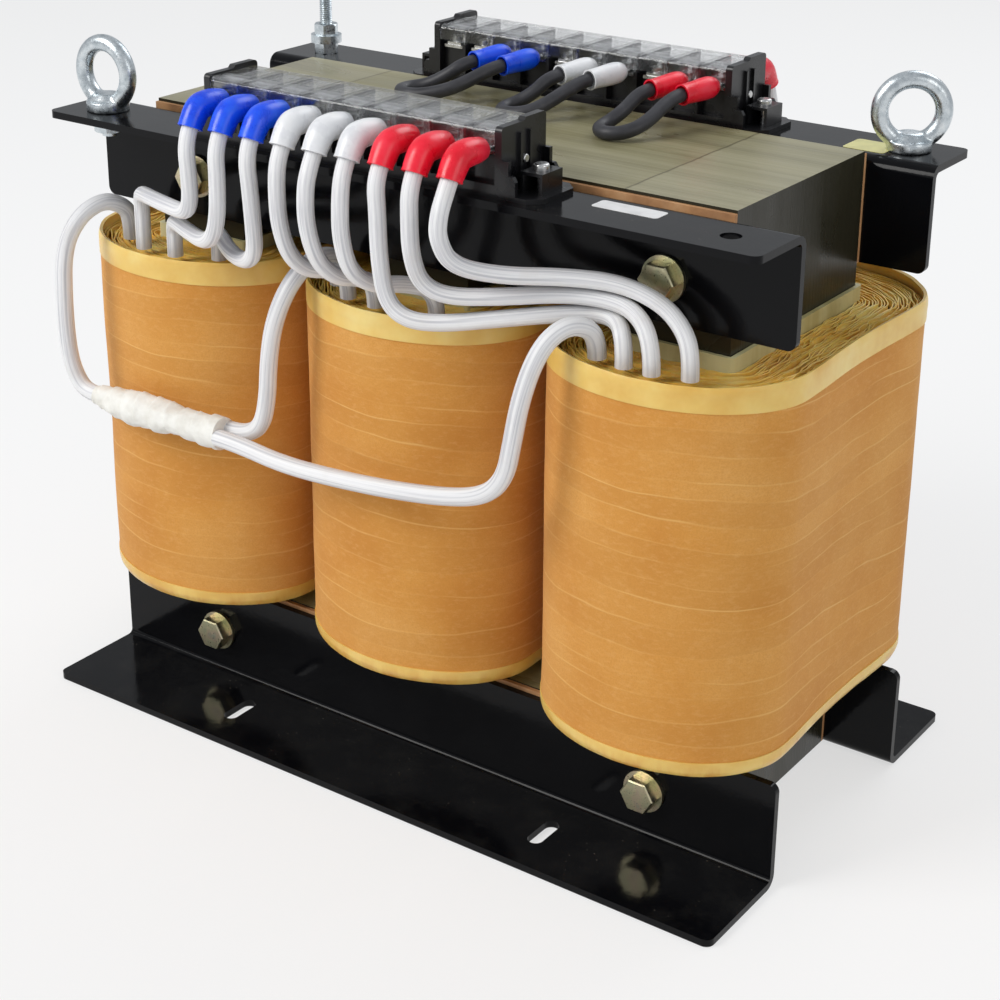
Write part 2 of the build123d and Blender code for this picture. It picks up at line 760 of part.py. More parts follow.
# Loops of the jumpers: x from the first boot, y from where the boots start, height above the rest
jumper_loops = {
    "left": [(-17, -46, 10), (-31, -50, 2), (-42, -57, 0), (-43, -69, 0), (-32, -77, 0), (-16, -74, 1),
             (3, -62, 7)],
    "middle": [(-14, -50, 8.5), (-24, -58, 1.5), (-27, -69, 0), (-20, -79, 0), (-7, -79, 0.5), (5, -70, 4.5)],
    "right": [(-12, -53, 8), (-18, -65, 1), (-17, -78, 0), (-6, -86, 0), (6, -81, 1), (14, -67, 6)],
}
jumper_pairs = {"left": (3, 4), "middle": (6, 7), "right": (9, 10)}


def jumper_route(first, second, loop):
    """Loop between two neighbouring boots, resting on the core where it turns."""
    start, end = (jumper_boot_points(place)[2] for place in (first, second))
    stub = jumper_lean * jumper_stub
    rest = Vector(first.X, first.Y, core_top + jumper_diameter / 2 + slip)
    return [start, start + stub, *[rest + Vector(point) for point in loop], end + stub, end]


def splice():
    """Taped splice of the star point: a lump that tapers to the left."""
    length = splice_end[0] - splice_start[0]
    outline = Spline(
        (0, splice_neck), (splice_thick_at, splice_thick), (splice_thin_at, splice_thin), (length, splice_mouth)
    )
    axis_line = Line((0, 0), (length, 0))
    ends = [Line((0, 0), (0, splice_neck)), Line((length, 0), (length, splice_mouth))]
    return Pos(*above_coils([splice_start])) * revolve(make_face([outline, axis_line, *ends]), Axis.X)


wired_by_jumpers = [position for pair in jumper_pairs.values() for position in pair]
rear_lead_position = rear_positions
front_starts = {i + 1: lug_end(-1, i + 1, -1) for i in range(front_positions)}
rear_start = lug_end(1, rear_lead_position, 1)
boots = {"blue": [], "white": [], "red": []}
for position, start in front_starts.items():
    colour = ("blue", "white", "red")[(position - 1) // 3]
    boots[colour].append(elbow_boot(start, -1))
for colour, pair in zip(boots, jumper_pairs.values()):
    for position in pair:
        start = lug_end(1, position, -1)
        boots[colour].append(jumper_boot(start))
boots["red"].append(elbow_boot(rear_start, 1))
front_lugs = [
    block_place(-1) * Pos(terminal_x(front_positions, front_pitch, i + 1), 0, 0) * lug(-1)
    for i in range(front_positions)
]
rear_lugs = [
    block_place(1) * Pos(terminal_x(rear_positions, rear_pitch, position), 0, 0) * lug(toward)
    for position, toward in [(p, -1) for p in wired_by_jumpers] + [(rear_lead_position, 1)]
]

# ---- every sub-part under its name ----
parts = {
    "core_stack": core_stack(),
    "top_clamp_front": top_clamp(-1),
    "top_clamp_rear": top_clamp(1),
    "bottom_clamp_front": bottom_clamp(-1),
    "bottom_clamp_rear": bottom_clamp(1),
    "yoke_insulation_top": insulation_pair(clamp_top - top_web, clamp_top + top_insulation_stand),
    "yoke_insulation_bottom": insulation_pair(core_floor_gap, bottom_web + bottom_insulation_stand),
    "yoke_bolts": yoke_bolts(),
    "yoke_nuts": yoke_nuts(),
    "yoke_washers": yoke_washers(),
    "yoke_bolt_tubes": bolt_tubes(),
    "eye_bolt_front": eye_bolt(-corner_hole_x, -top_flange_middle, front_eye_angle),
    "eye_bolt_rear": eye_bolt(corner_hole_x, top_flange_middle, rear_eye_angle),
    "eye_bolt_nuts": eye_nuts(),
    "earth_stud": earth_stud(),
    "earth_stud_hardware": earth_hardware(),
    "block_screws": block_screws() + link_screws(),
    "cable_lugs": front_lugs + rear_lugs,
    "terminal_markers": [],
    "terminal_bars": [],
}
for name, x in zip(("left", "middle", "right"), limb_places):
    parts["former_" + name] = Pos(x, 0, 0) * former()
    parts["inner_winding_" + name] = Pos(x, 0, 0) * inner_winding()
    parts["outer_winding_" + name] = Pos(x, 0, 0) * outer_winding()
    parts["outer_wrap_" + name] = Pos(x, 0, 0) * outer_wrap()
    parts["end_bands_" + name] = [Pos(x, 0, 0) * band for band in end_bands()]
for name, side, count, pitch, wired_front, wired_rear in (
    ("front", -1, front_positions, front_pitch, list(front_starts), []),
    ("rear", 1, rear_positions, rear_pitch, wired_by_jumpers, [rear_lead_position]),
):
    place = block_place(side)
    parts["terminal_base_" + name] = place * block_base(count, pitch)
    parts["terminal_cover_" + name] = place * block_cover(count, pitch)
    parts["terminal_markers"] += [place * card for card in markers(count, pitch)]
    parts["terminal_bars"] += [
        place * piece for piece in terminals(count, pitch, wired_front, wired_rear)
    ]
for colour, pieces in boots.items():
    parts["boots_" + colour] = pieces
for position, route in front_routes.items():
    _, tip, direction = boot_path(front_starts[position], -1)
    points = [tip, tip + direction * lead_stub, *above_coils(route), *entry(front_entries[position])]
    parts["lead_front_" + str(position)] = cord(points, lead_diameter)
_, tip, direction = boot_path(rear_start, 1)
rear_points = [tip, tip + direction * lead_stub, *above_coils(rear_route), *entry(rear_entry)]
parts["lead_rear"] = cord(rear_points, lead_diameter)
for name, route in star_routes.items():
    parts["star_lead_" + name] = cord([*above_coils(route), *entry(star_entries[name])], star_diameter)
parts["star_splice"] = splice()
for name, (first, second) in jumper_pairs.items():
    route = jumper_route(lug_end(1, first, -1), lug_end(1, second, -1), jumper_loops[name])
    parts["jumper_" + name] = cord(route, jumper_diameter)

os.makedirs("parts", exist_ok=True)
for name, shape in parts.items():
    solids = [s for piece in shape for s in piece.solids()] if isinstance(shape, list) else shape.solids()
    export_step(Compound(children=list(solids)) if len(solids) > 1 else solids[0], f"parts/{name}.step")
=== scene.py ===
from math import atan2, cos, hypot, pi, radians, sin, tan

import bmesh
import bpy
from mathutils import Matrix, Vector, noise


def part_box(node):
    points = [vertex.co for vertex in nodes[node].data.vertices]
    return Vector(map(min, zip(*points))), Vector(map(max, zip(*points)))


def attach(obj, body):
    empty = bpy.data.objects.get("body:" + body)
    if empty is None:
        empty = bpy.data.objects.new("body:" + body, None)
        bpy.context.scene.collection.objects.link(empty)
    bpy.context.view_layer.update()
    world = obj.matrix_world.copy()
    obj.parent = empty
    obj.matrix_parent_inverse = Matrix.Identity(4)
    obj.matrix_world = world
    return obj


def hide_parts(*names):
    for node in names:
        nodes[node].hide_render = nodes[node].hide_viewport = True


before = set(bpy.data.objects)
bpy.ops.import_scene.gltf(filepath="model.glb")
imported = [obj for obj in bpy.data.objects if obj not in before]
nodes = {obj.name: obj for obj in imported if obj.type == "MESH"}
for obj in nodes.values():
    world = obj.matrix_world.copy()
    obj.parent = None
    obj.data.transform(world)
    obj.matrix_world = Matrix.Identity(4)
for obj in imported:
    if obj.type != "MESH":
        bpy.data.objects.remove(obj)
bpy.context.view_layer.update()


# ---- Studio ----
# A pale floor under the transformer, three soft lamps and a pale sky, and the camera that stands
# in front of the right end and looks down on the terminal blocks.

def paint_stage(name, colour, share):
    """Matt pale material that shows lighter to the camera, to gloss and through clear plastic."""
    mat = bpy.data.materials.new(name)
    mat.use_nodes = True
    tree = mat.node_tree
    tree.nodes.clear()
    out = tree.nodes.new("ShaderNodeOutputMaterial")
    mix = tree.nodes.new("ShaderNodeMixShader")
    matt = tree.nodes.new("ShaderNodeBsdfDiffuse")
    glow = tree.nodes.new("ShaderNodeEmission")
    path = tree.nodes.new("ShaderNodeLightPath")
    gloss = tree.nodes.new("ShaderNodeMath")
    seen = tree.nodes.new("ShaderNodeMath")
    part = tree.nodes.new("ShaderNodeMath")
    gloss.operation = seen.operation = "MAXIMUM"
    part.operation = "MULTIPLY"
    part.inputs[1].default_value = share
    matt.inputs["Color"].default_value = (*colour, 1)
    glow.inputs["Color"].default_value = (1, 1, 1, 1)
    tree.links.new(path.outputs["Is Camera Ray"], gloss.inputs[0])
    tree.links.new(path.outputs["Is Glossy Ray"], gloss.inputs[1])
    tree.links.new(gloss.outputs[0], seen.inputs[0])
    tree.links.new(path.outputs["Is Transmission Ray"], seen.inputs[1])
    tree.links.new(seen.outputs[0], part.inputs[0])
    tree.links.new(part.outputs[0], mix.inputs["Fac"])
    tree.links.new(matt.outputs[0], mix.inputs[1])
    tree.links.new(glow.outputs[0], mix.inputs[2])
    tree.links.new(mix.outputs[0], out.inputs["Surface"])
    return mat


bpy.ops.object.select_all(action="DESELECT")
bpy.ops.mesh.primitive_plane_add(size=14, location=(0, 0, -0.0006))
floor = bpy.context.object
floor.name = "floor"
floor.data.materials.append(paint_stage("pale_floor", (0.82, 0.82, 0.82), 0.62))

sky = bpy.data.worlds.new("pale_sky")
bpy.context.scene.world = sky
sky.use_nodes = True
sky_nodes, sky_links = sky.node_tree.nodes, sky.node_tree.links
sky_nodes.clear()
sky_out = sky_nodes.new("ShaderNodeOutputWorld")
sky_mix = sky_nodes.new("ShaderNodeMixShader")
sky_light = sky_nodes.new("ShaderNodeBackground")
sky_seen = sky_nodes.new("ShaderNodeBackground")
sky_path = sky_nodes.new("ShaderNodeLightPath")
sky_light.inputs["Color"].default_value = (0.93, 0.96, 1.0, 1)
sky_light.inputs["Strength"].default_value = 0.55
sky_seen.inputs["Color"].default_value = (1, 1, 1, 1)
sky_seen.inputs["Strength"].default_value = 1.0
sky_links.new(sky_path.outputs["Is Camera Ray"], sky_mix.inputs["Fac"])
sky_links.new(sky_light.outputs[0], sky_mix.inputs[1])
sky_links.new(sky_seen.outputs[0], sky_mix.inputs[2])
sky_links.new(sky_mix.outputs[0], sky_out.inputs["Surface"])


def add_lamp(name, place, aim, size, power, colour):
    """Square area lamp at a place, turned towards the point aim."""
    turn = (Vector(aim) - Vector(place)).to_track_quat("-Z", "Y").to_euler()
    bpy.ops.object.light_add(type="AREA", location=place, rotation=turn)
    lamp = bpy.context.object
    lamp.name = name
    lamp.data.size = size
    lamp.data.energy = power
    lamp.data.color = colour


add_lamp("key_lamp", (-1.5, -2.2, 2.3), (0, 0, 0.25), 1.6, 64, (1.0, 0.985, 0.96))
add_lamp("side_lamp", (2.7, -0.7, 1.5), (0, 0, 0.25), 1.5, 11, (1.0, 0.97, 0.93))
add_lamp("rear_lamp", (0.2, 2.3, 2.4), (0, 0, 0.4), 1.6, 24, (0.95, 0.97, 1.0))

camera_place = Vector((0.77979, -1.09980, 0.78326))
camera_yaw, camera_pitch, camera_roll = -0.6138, 0.3718, 0.0082
camera_reach = 2.03856
look = Vector((
    sin(camera_yaw) * cos(camera_pitch), cos(camera_yaw) * cos(camera_pitch), -sin(camera_pitch),
))
level_right = Vector((cos(camera_yaw), -sin(camera_yaw), 0))
level_up = level_right.cross(look)
right = cos(camera_roll) * level_right + sin(camera_roll) * level_up
up = cos(camera_roll) * level_up - sin(camera_roll) * level_right
bpy.ops.object.camera_add()
camera = bpy.context.object
camera.matrix_world = Matrix((
    (right.x, up.x, -look.x, camera_place.x),
    (right.y, up.y, -look.y, camera_place.y),
    (right.z, up.z, -look.z, camera_place.z),
    (0, 0, 0, 1),
))
camera.data.sensor_width = 36
camera.data.lens = camera_reach * camera.data.sensor_width
camera.data.shift_y = -0.12
camera.data.clip_start = 0.05
bpy.context.scene.camera = camera
bpy.context.scene.view_settings.view_transform = "Standard"


# ---- Core ----
# A stack of electrical steel sheets, standing upright side by side, with the yoke sheets let in
# between the limb sheets at the corners. The edges are brushed with an olive varnish.

def new_material(name, slot, colour, roughness, metallic=0.0):
    """Material with one shader and its plain values; returns both."""
    mat = bpy.data.materials.new(name)
    mat.use_nodes = True
    tree = mat.node_tree
    shader = tree.nodes["Principled BSDF"]
    shader.inputs["Base Color"].default_value = (*colour, 1)
    shader.inputs["Roughness"].default_value = roughness
    shader.inputs["Metallic"].default_value = metallic
    mat["slot"] = slot
    return mat, shader


def node(mat, kind, inputs=None, **settings):
    """Adds a node; inputs are values, or (node, output) pairs to link from."""
    made = mat.node_tree.nodes.new(kind)
    for key, value in settings.items():
        setattr(made, key, value)
    for key, value in (inputs or {}).items():
        if isinstance(value, tuple) and len(value) == 2 and hasattr(value[0], "outputs"):
            mat.node_tree.links.new(value[0].outputs[value[1]], made.inputs[key])
        else:
            made.inputs[key].default_value = value
    return made


def link(mat, source, output, target, socket):
    """Joins two nodes."""
    mat.node_tree.links.new(source.outputs[output], target.inputs[socket])


even = (1, 1, 1)


def place_of(mat, scale=even):
    """Coordinates of the point on the piece, stretched by scale."""
    coordinates = node(mat, "ShaderNodeTexCoord")
    return node(mat, "ShaderNodeMapping", {"Vector": (coordinates, "Object"), "Scale": scale})


def grain(mat, scale, size, detail=3.0, roughness=0.55, distortion=0.0):
    """Noise of the given size on stretched coordinates."""
    return node(mat, "ShaderNodeTexNoise", {
        "Vector": (place_of(mat, scale), "Vector"), "Scale": size, "Detail": detail,
        "Roughness": roughness, "Distortion": distortion,
    })


def ramp(mat, source, stops):
    """Colour ramp over a noise, from a list of (place, colour)."""
    made = node(mat, "ShaderNodeValToRGB", {"Fac": (source, "Fac")})
    elements = made.color_ramp.elements
    while len(elements) > len(stops):
        elements.remove(elements[-1])
    while len(elements) < len(stops):
        elements.new(1.0)
    for element, (place, colour) in zip(elements, stops):
        element.position = place
        element.color = (*colour, 1)
    return made


def blend_colours(mat, factor, first, second, how="MIX"):
    """Mixes two colours; each is a (node, output) pair or a colour."""
    made = node(mat, "ShaderNodeMix", data_type="RGBA", blend_type=how)
    for socket, value in ((0, factor), (6, first), (7, second)):
        if isinstance(value, tuple) and len(value) == 2 and hasattr(value[0], "outputs"):
            mat.node_tree.links.new(value[0].outputs[value[1]], made.inputs[socket])
        else:
            made.inputs[socket].default_value = value if socket == 0 else (*value, 1)
    return made


def span(mat, source, output, low, high, to_low, to_high):
    """Stretches a value from one range to another and holds it there."""
    return node(mat, "ShaderNodeMapRange", {
        "Value": (source, output), "From Min": low, "From Max": high, "To Min": to_low, "To Max": to_high,
    })


def stain(mat, under, source, low, high, most, colour):
    """Lays a colour over another, from none where a noise is low to most where it is high."""
    cover = span(mat, source, "Fac", low, high, 0.0, most)
    output = 2 if under.bl_idname == "ShaderNodeMix" else "Color"
    return blend_colours(mat, (cover, "Result"), (under, output), colour)


def vary_gloss(mat, shader, source, low, high, at_low, at_high):
    """Roughness that follows a noise."""
    link(mat, span(mat, source, "Fac", low, high, at_low, at_high), "Result", shader, "Roughness")


def roughen(mat, shader, source, output, strength, distance, normal=None):
    """Bump from a height, laid over another bump where there is one."""
    bump = node(
        mat, "ShaderNodeBump", {"Height": (source, output), "Strength": strength, "Distance": distance},
    )
    if normal is not None:
        link(mat, normal, "Normal", bump, "Normal")
    link(mat, bump, "Normal", shader, "Normal")
    return bump


def dress(name, mat):
    """Gives a CAD node its material."""
    mesh = nodes[name].data
    mesh.materials.clear()
    mesh.materials.append(mat)


limb_joint = 0.157
core_paint, shader = new_material("varnished_core_edges", "core_steel", (0.3, 0.28, 0.17), 0.4)
sheets = grain(core_paint, (1.2, 900, 1.2), 1.0, 2.0, 0.6)
packets = grain(core_paint, (1.5, 60, 1.5), 1.0, 3.0)
runs = grain(core_paint, (9, 26, 9), 1.0, 4.0, distortion=0.7)
blotches = grain(core_paint, even, 7.0, 5.0)
tone = ramp(
    core_paint, packets,
    [(0.3, (0.12, 0.112, 0.055)), (0.5, (0.205, 0.19, 0.1)), (0.72, (0.3, 0.28, 0.165))],
)
tone = stain(core_paint, tone, sheets, 0.35, 0.7, 0.5, (0.38, 0.355, 0.235))
tone = stain(core_paint, tone, runs, 0.5, 0.72, 0.55, (0.1, 0.082, 0.03))
tone = stain(core_paint, tone, blotches, 0.35, 0.75, 0.5, (0.31, 0.27, 0.14))
# A thin dark line and a paler yoke end where the outer limbs meet the yoke
spot = node(
    core_paint, "ShaderNodeSeparateXYZ", {"Vector": (node(core_paint, "ShaderNodeTexCoord"), "Object")},
)
away = node(core_paint, "ShaderNodeMath", {0: (spot, "X")}, operation="ABSOLUTE")
seam = node(core_paint, "ShaderNodeMath", {0: (away, 0), 1: limb_joint}, operation="SUBTRACT")
seam_wave = node(core_paint, "ShaderNodeMath", {0: (packets, "Fac"), 1: 0.003}, operation="MULTIPLY")
seam = node(core_paint, "ShaderNodeMath", {0: (seam, 0), 1: (seam_wave, 0)}, operation="ADD")
seam_line = node(core_paint, "ShaderNodeMath", {0: (seam, 0)}, operation="ABSOLUTE")
tone = blend_colours(
    core_paint, (span(core_paint, seam_line, 0, 0.0003, 0.0012, 0.65, 0.0), "Result"), (tone, 2),
    (0.05, 0.04, 0.02),
)
tone = blend_colours(
    core_paint, (span(core_paint, seam, 0, 0.0, 0.002, 0.0, 0.16), "Result"), (tone, 2), (0.46, 0.44, 0.34),
)
# Painted shade: the faces that do not face up, at the ends, between the limbs and towards the floor, are
# darkened nearly to black by the way they face
painted_shade_facing = node(
    core_paint, "ShaderNodeSeparateXYZ", {"Vector": (node(core_paint, "ShaderNodeTexCoord"), "Normal")},
)
tone = blend_colours(
    core_paint, (span(core_paint, painted_shade_facing, "Z", 0.1, 0.9, 0.95, 0.0), "Result"), (tone, 2),
    (0.012, 0.0105, 0.005),
)
link(core_paint, tone, 2, shader, "Base Color")
vary_gloss(core_paint, shader, runs, 0.3, 0.7, 0.42, 0.22)
shader.inputs["Specular IOR Level"].default_value = 0.3
relief = roughen(core_paint, shader, sheets, "Fac", 0.35, 0.0004)
roughen(core_paint, shader, runs, "Fac", 0.25, 0.0008, relief)
dress("core_stack", core_paint)


# ---- Clamping angles ----
# Four angles bent from 5 mm steel plate that press the yokes together, the lower two carrying the
# whole transformer. Gloss black stove paint, with dust and fine spots on the level faces.

black_gloss, shader = new_material("black_stove_paint", "black_paint", (0.003, 0.0031, 0.004), 0.14)
peel = grain(black_gloss, even, 260.0, 2.0)
sag = grain(black_gloss, even, 14.0, 3.0)
dust = grain(black_gloss, even, 30.0, 6.0, 0.7)
specks = node(
    black_gloss, "ShaderNodeTexVoronoi", {"Vector": (place_of(black_gloss), "Vector"), "Scale": 170.0},
    feature="F1",
)
speck_size = span(black_gloss, specks, "Distance", 0.03, 0.09, 1.0, 0.0)
up_face = node(
    black_gloss, "ShaderNodeSeparateXYZ", {"Vector": (node(black_gloss, "ShaderNodeTexCoord"), "Normal")},
)
level = span(black_gloss, up_face, "Z", 0.6, 0.95, 0.0, 1.0)
film = node(
    black_gloss, "ShaderNodeMath",
    {0: (span(black_gloss, dust, "Fac", 0.45, 0.75, 0.0, 0.3), "Result"), 1: (level, "Result")},
    operation="MULTIPLY",
)
speck = node(
    black_gloss, "ShaderNodeMath", {0: (speck_size, "Result"), 1: (level, "Result")}, operation="MULTIPLY",
)
speck = node(
    black_gloss, "ShaderNodeMath",
    {0: (speck, 0), 1: (span(black_gloss, dust, "Fac", 0.45, 0.6, 0.0, 0.35), "Result")},
    operation="MULTIPLY",
)
tone = blend_colours(black_gloss, (film, 0), (0.003, 0.0031, 0.004), (0.03, 0.029, 0.027))
tone = blend_colours(black_gloss, (speck, 0), (tone, 2), (0.4, 0.36, 0.3))
link(black_gloss, tone, 2, shader, "Base Color")
vary_gloss(black_gloss, shader, dust, 0.3, 0.75, 0.07, 0.2)
shader.inputs["Specular IOR Level"].default_value = 0.14
relief = roughen(black_gloss, shader, peel, "Fac", 0.1, 0.0004)
roughen(black_gloss, shader, sag, "Fac", 0.1, 0.002, relief)
for name in ("top_clamp_front", "top_clamp_rear", "bottom_clamp_front", "bottom_clamp_rear"):
    dress(name, black_gloss)


# ---- Pressboard strips and bolt tubes ----
# Brown electrical pressboard between the core and each angle, its sawn edge a lighter orange, and
# tubes of the same board round the bolts inside the core.

board_brown, shader = new_material("brown_pressboard", "pressboard", (0.5, 0.27, 0.12), 0.7)
fibre = grain(board_brown, (30, 240, 30), 1.0, 5.0, 0.65)
damp = grain(board_brown, even, 22.0, 4.0)
tone = ramp(
    board_brown, fibre, [(0.3, (0.3, 0.14, 0.06)), (0.52, (0.53, 0.27, 0.115)), (0.75, (0.68, 0.42, 0.22))],
)
tone = stain(board_brown, tone, damp, 0.5, 0.75, 0.6, (0.22, 0.1, 0.05))
link(board_brown, tone, 2, shader, "Base Color")
roughen(board_brown, shader, fibre, "Fac", 0.4, 0.0006)
for name in ("yoke_insulation_top", "yoke_insulation_bottom", "yoke_bolt_tubes"):
    dress(name, board_brown)


# ---- Yoke bolts ----
# M14 hexagon bolts through both yokes, with nuts and washers, in yellow passivated zinc that
# shifts between straw, green and pink.

yellow_zinc, shader = new_material("yellow_passivated_zinc", "yellow_zinc", (0.6, 0.56, 0.36), 0.3, 1.0)
shift = grain(yellow_zinc, even, 95.0, 4.0)
scuff = grain(yellow_zinc, even, 620.0, 5.0)
tone = ramp(
    yellow_zinc, shift,
    [
        (0.3, (0.53, 0.55, 0.36)), (0.5, (0.68, 0.63, 0.41)), (0.62, (0.7, 0.58, 0.42)),
        (0.75, (0.5, 0.52, 0.4)),
    ],
)
tone = stain(yellow_zinc, tone, scuff, 0.55, 0.8, 0.5, (0.28, 0.26, 0.17))
link(yellow_zinc, tone, 2, shader, "Base Color")
vary_gloss(yellow_zinc, shader, scuff, 0.3, 0.75, 0.24, 0.46)
roughen(yellow_zinc, shader, scuff, "Fac", 0.15, 0.0003)
for name in ("yoke_bolts", "yoke_nuts", "yoke_washers"):
    dress(name, yellow_zinc)


# ---- Formers ----
# The tube of pale green varnished board that each coil is wound on, standing a little above the
# windings round its limb.

former_green, shader = new_material("pale_green_former", "former_board", (0.62, 0.56, 0.27), 0.5)
streak = grain(former_green, (40, 40, 6), 1.0, 4.0)
brush = grain(former_green, even, 28.0, 4.0)
tone = ramp(
    former_green, streak,
    [(0.32, (0.52, 0.44, 0.18)), (0.55, (0.68, 0.63, 0.33)), (0.75, (0.74, 0.7, 0.42))],
)
tone = stain(former_green, tone, brush, 0.52, 0.75, 0.65, (0.36, 0.3, 0.12))
link(former_green, tone, 2, shader, "Base Color")
shader.inputs["Coat Weight"].default_value = 0.35
shader.inputs["Coat Roughness"].default_value = 0.18
roughen(former_green, shader, brush, "Fac", 0.2, 0.0008)
for name in ("former_left", "former_middle", "former_right"):
    dress(name, former_green)


# ---- Windings ----
# Wire wound in layers with sheets of yellow varnished paper between them. At both ends the paper
# stands out past the wire in thin wavy rims that lean on one another.

shoulder = 0.078
outer_waist = 0.0025
inner_waist = 0.0015


def oblong(half_width, reach, waist, count):
    """Points of a coil's outline from above: elliptical ends, sides drawn in by waist."""
    points = []
    end_count, side_count = count * 5 // 16, count * 3 // 16
    for end in (-1, 1):
        for i in range(end_count):
            angle = end * pi / 2 + pi * (i / end_count - 0.5)
            points.append((half_width * cos(angle), end * shoulder + (reach - shoulder) * sin(angle)))
        for i in range(side_count):
            t = i / side_count
            drawn = half_width - waist * (1 - (2 * t - 1) ** 2) ** 2
            points.append((-end * drawn, end * (shoulder - 2 * shoulder * t)))
    return points


def outward(points):
    """Unit directions that point out of a closed outline."""
    count = len(points)
    result = []
    for i in range(count):
        ax, ay = points[i - 1]
        bx, by = points[(i + 1) % count]
        length = hypot(bx - ax, by - ay) or 1.0
        result.append(((by - ay) / length, -(bx - ax) / length))
    turned = sum(x * nx + y * ny for (x, y), (nx, ny) in zip(points, result))
    return result if turned > 0 else [(-x, -y) for x, y in result]


def give_wall(piece, thickness, side=-1):
    """Thickens a skin inwards, or outwards where side is 1."""
    bpy.context.view_layer.objects.active = piece
    wall = piece.modifiers.new("wall", "SOLIDIFY")
    wall.thickness = thickness
    wall.offset = side
    bpy.ops.object.modifier_apply(modifier="wall")


def paper_shell(name, points, low, high, thickness, mat, sway=0.0, ripple=0.0, seed=0, layer=0, rows=2):
    """Thin upright sheet round an outline, its upper rim wavy in plan and in height."""
    bpy.ops.object.select_all(action="DESELECT")
    bpy.ops.mesh.primitive_circle_add(vertices=len(points), radius=0.1, location=(0, 0, 0))
    shell = bpy.context.object
    shell.name = name
    normals = outward(points)
    perimeter = 0.0
    stations = []
    for i, (x, y) in enumerate(points):
        stations.append(perimeter)
        nx, ny = points[(i + 1) % len(points)]
        perimeter += hypot(nx - x, ny - y)
    for vertex, (x, y) in zip(shell.data.vertices, points):
        vertex.co = (x, y, low)
    bpy.ops.object.mode_set(mode="EDIT")
    for row in range(rows):
        bpy.ops.mesh.select_all(action="DESELECT")
        sheet = bmesh.from_edit_mesh(shell.data)
        top = low + (high - low) * row / rows
        for edge in sheet.edges:
            edge.select = all(abs(vertex.co.z - top) < 1e-5 for vertex in edge.verts)
        sheet.select_flush_mode()
        bmesh.update_edit_mesh(shell.data)
        bpy.ops.mesh.extrude_edges_move(TRANSFORM_OT_translate={"value": (0, 0, (high - low) / rows)})
    bpy.ops.object.mode_set(mode="OBJECT")
    where = {}
    for i, (x, y) in enumerate(points):
        where[round(x, 5), round(y, 5)] = i
    for vertex in shell.data.vertices:
        i = where[round(vertex.co.x, 5), round(vertex.co.y, 5)]
        turn = 2 * pi * stations[i] / perimeter
        free = max(0.0, (vertex.co.z - low) / (high - low)) ** 0.8
        spot = Vector((3.2 * cos(turn), 3.2 * sin(turn), 0.3 * layer + 9.1 * seed))
        fine = Vector((14 * cos(turn), 14 * sin(turn), 0.8 * layer + 5.3 * seed))
        side = 1.0 + 1.6 * abs(cos(atan2(points[i][1], points[i][0]))) ** 2
        push = sway * side * free * (noise.noise(spot * 1.6) * 1.5 + 0.6 * noise.noise(fine))
        lift = ripple * free * (noise.noise(spot * 2.2 + Vector((7, 3, 1))) + 0.7 * noise.noise(fine * 0.7))
        nx, ny = normals[i]
        vertex.co.x += nx * push
        vertex.co.y += ny * push
        vertex.co.z += lift
    give_wall(shell, thickness)
    bpy.ops.object.shade_smooth_by_angle(angle=radians(50))
    shell.data.materials.append(mat)
    return shell


def join_pieces(pieces, name):
    """Makes one object of several."""
    bpy.ops.object.select_all(action="DESELECT")
    for piece in pieces:
        piece.select_set(True)
    bpy.context.view_layer.objects.active = pieces[0]
    bpy.ops.object.join()
    joined = bpy.context.object
    joined.name = name
    joined.data.name = name
    return joined


def shift_mesh(piece, x, y, z):
    """Moves a piece's mesh, and leaves its object at the origin."""
    piece.data.transform(Matrix.Translation((x, y, z)))


paper_yellow, shader = new_material("yellow_layer_paper", "winding_paper", (0.8, 0.52, 0.16), 0.55)
patches = grain(paper_yellow, even, 26.0, 5.0)
threads = grain(paper_yellow, (300, 300, 60), 1.0, 3.0)
tone = ramp(
    paper_yellow, patches,
    [(0.28, (0.66, 0.34, 0.04)), (0.5, (0.85, 0.53, 0.085)), (0.7, (0.9, 0.68, 0.2))],
)
tone = stain(paper_yellow, tone, threads, 0.4, 0.75, 0.4, (0.87, 0.68, 0.32))
link(paper_yellow, tone, 2, shader, "Base Color")
shader.inputs["Subsurface Weight"].default_value = 0.25
shader.inputs["Subsurface Radius"].default_value = (0.004, 0.002, 0.0006)
shader.inputs["Subsurface Scale"].default_value = 0.5
roughen(paper_yellow, shader, patches, "Fac", 0.2, 0.001)

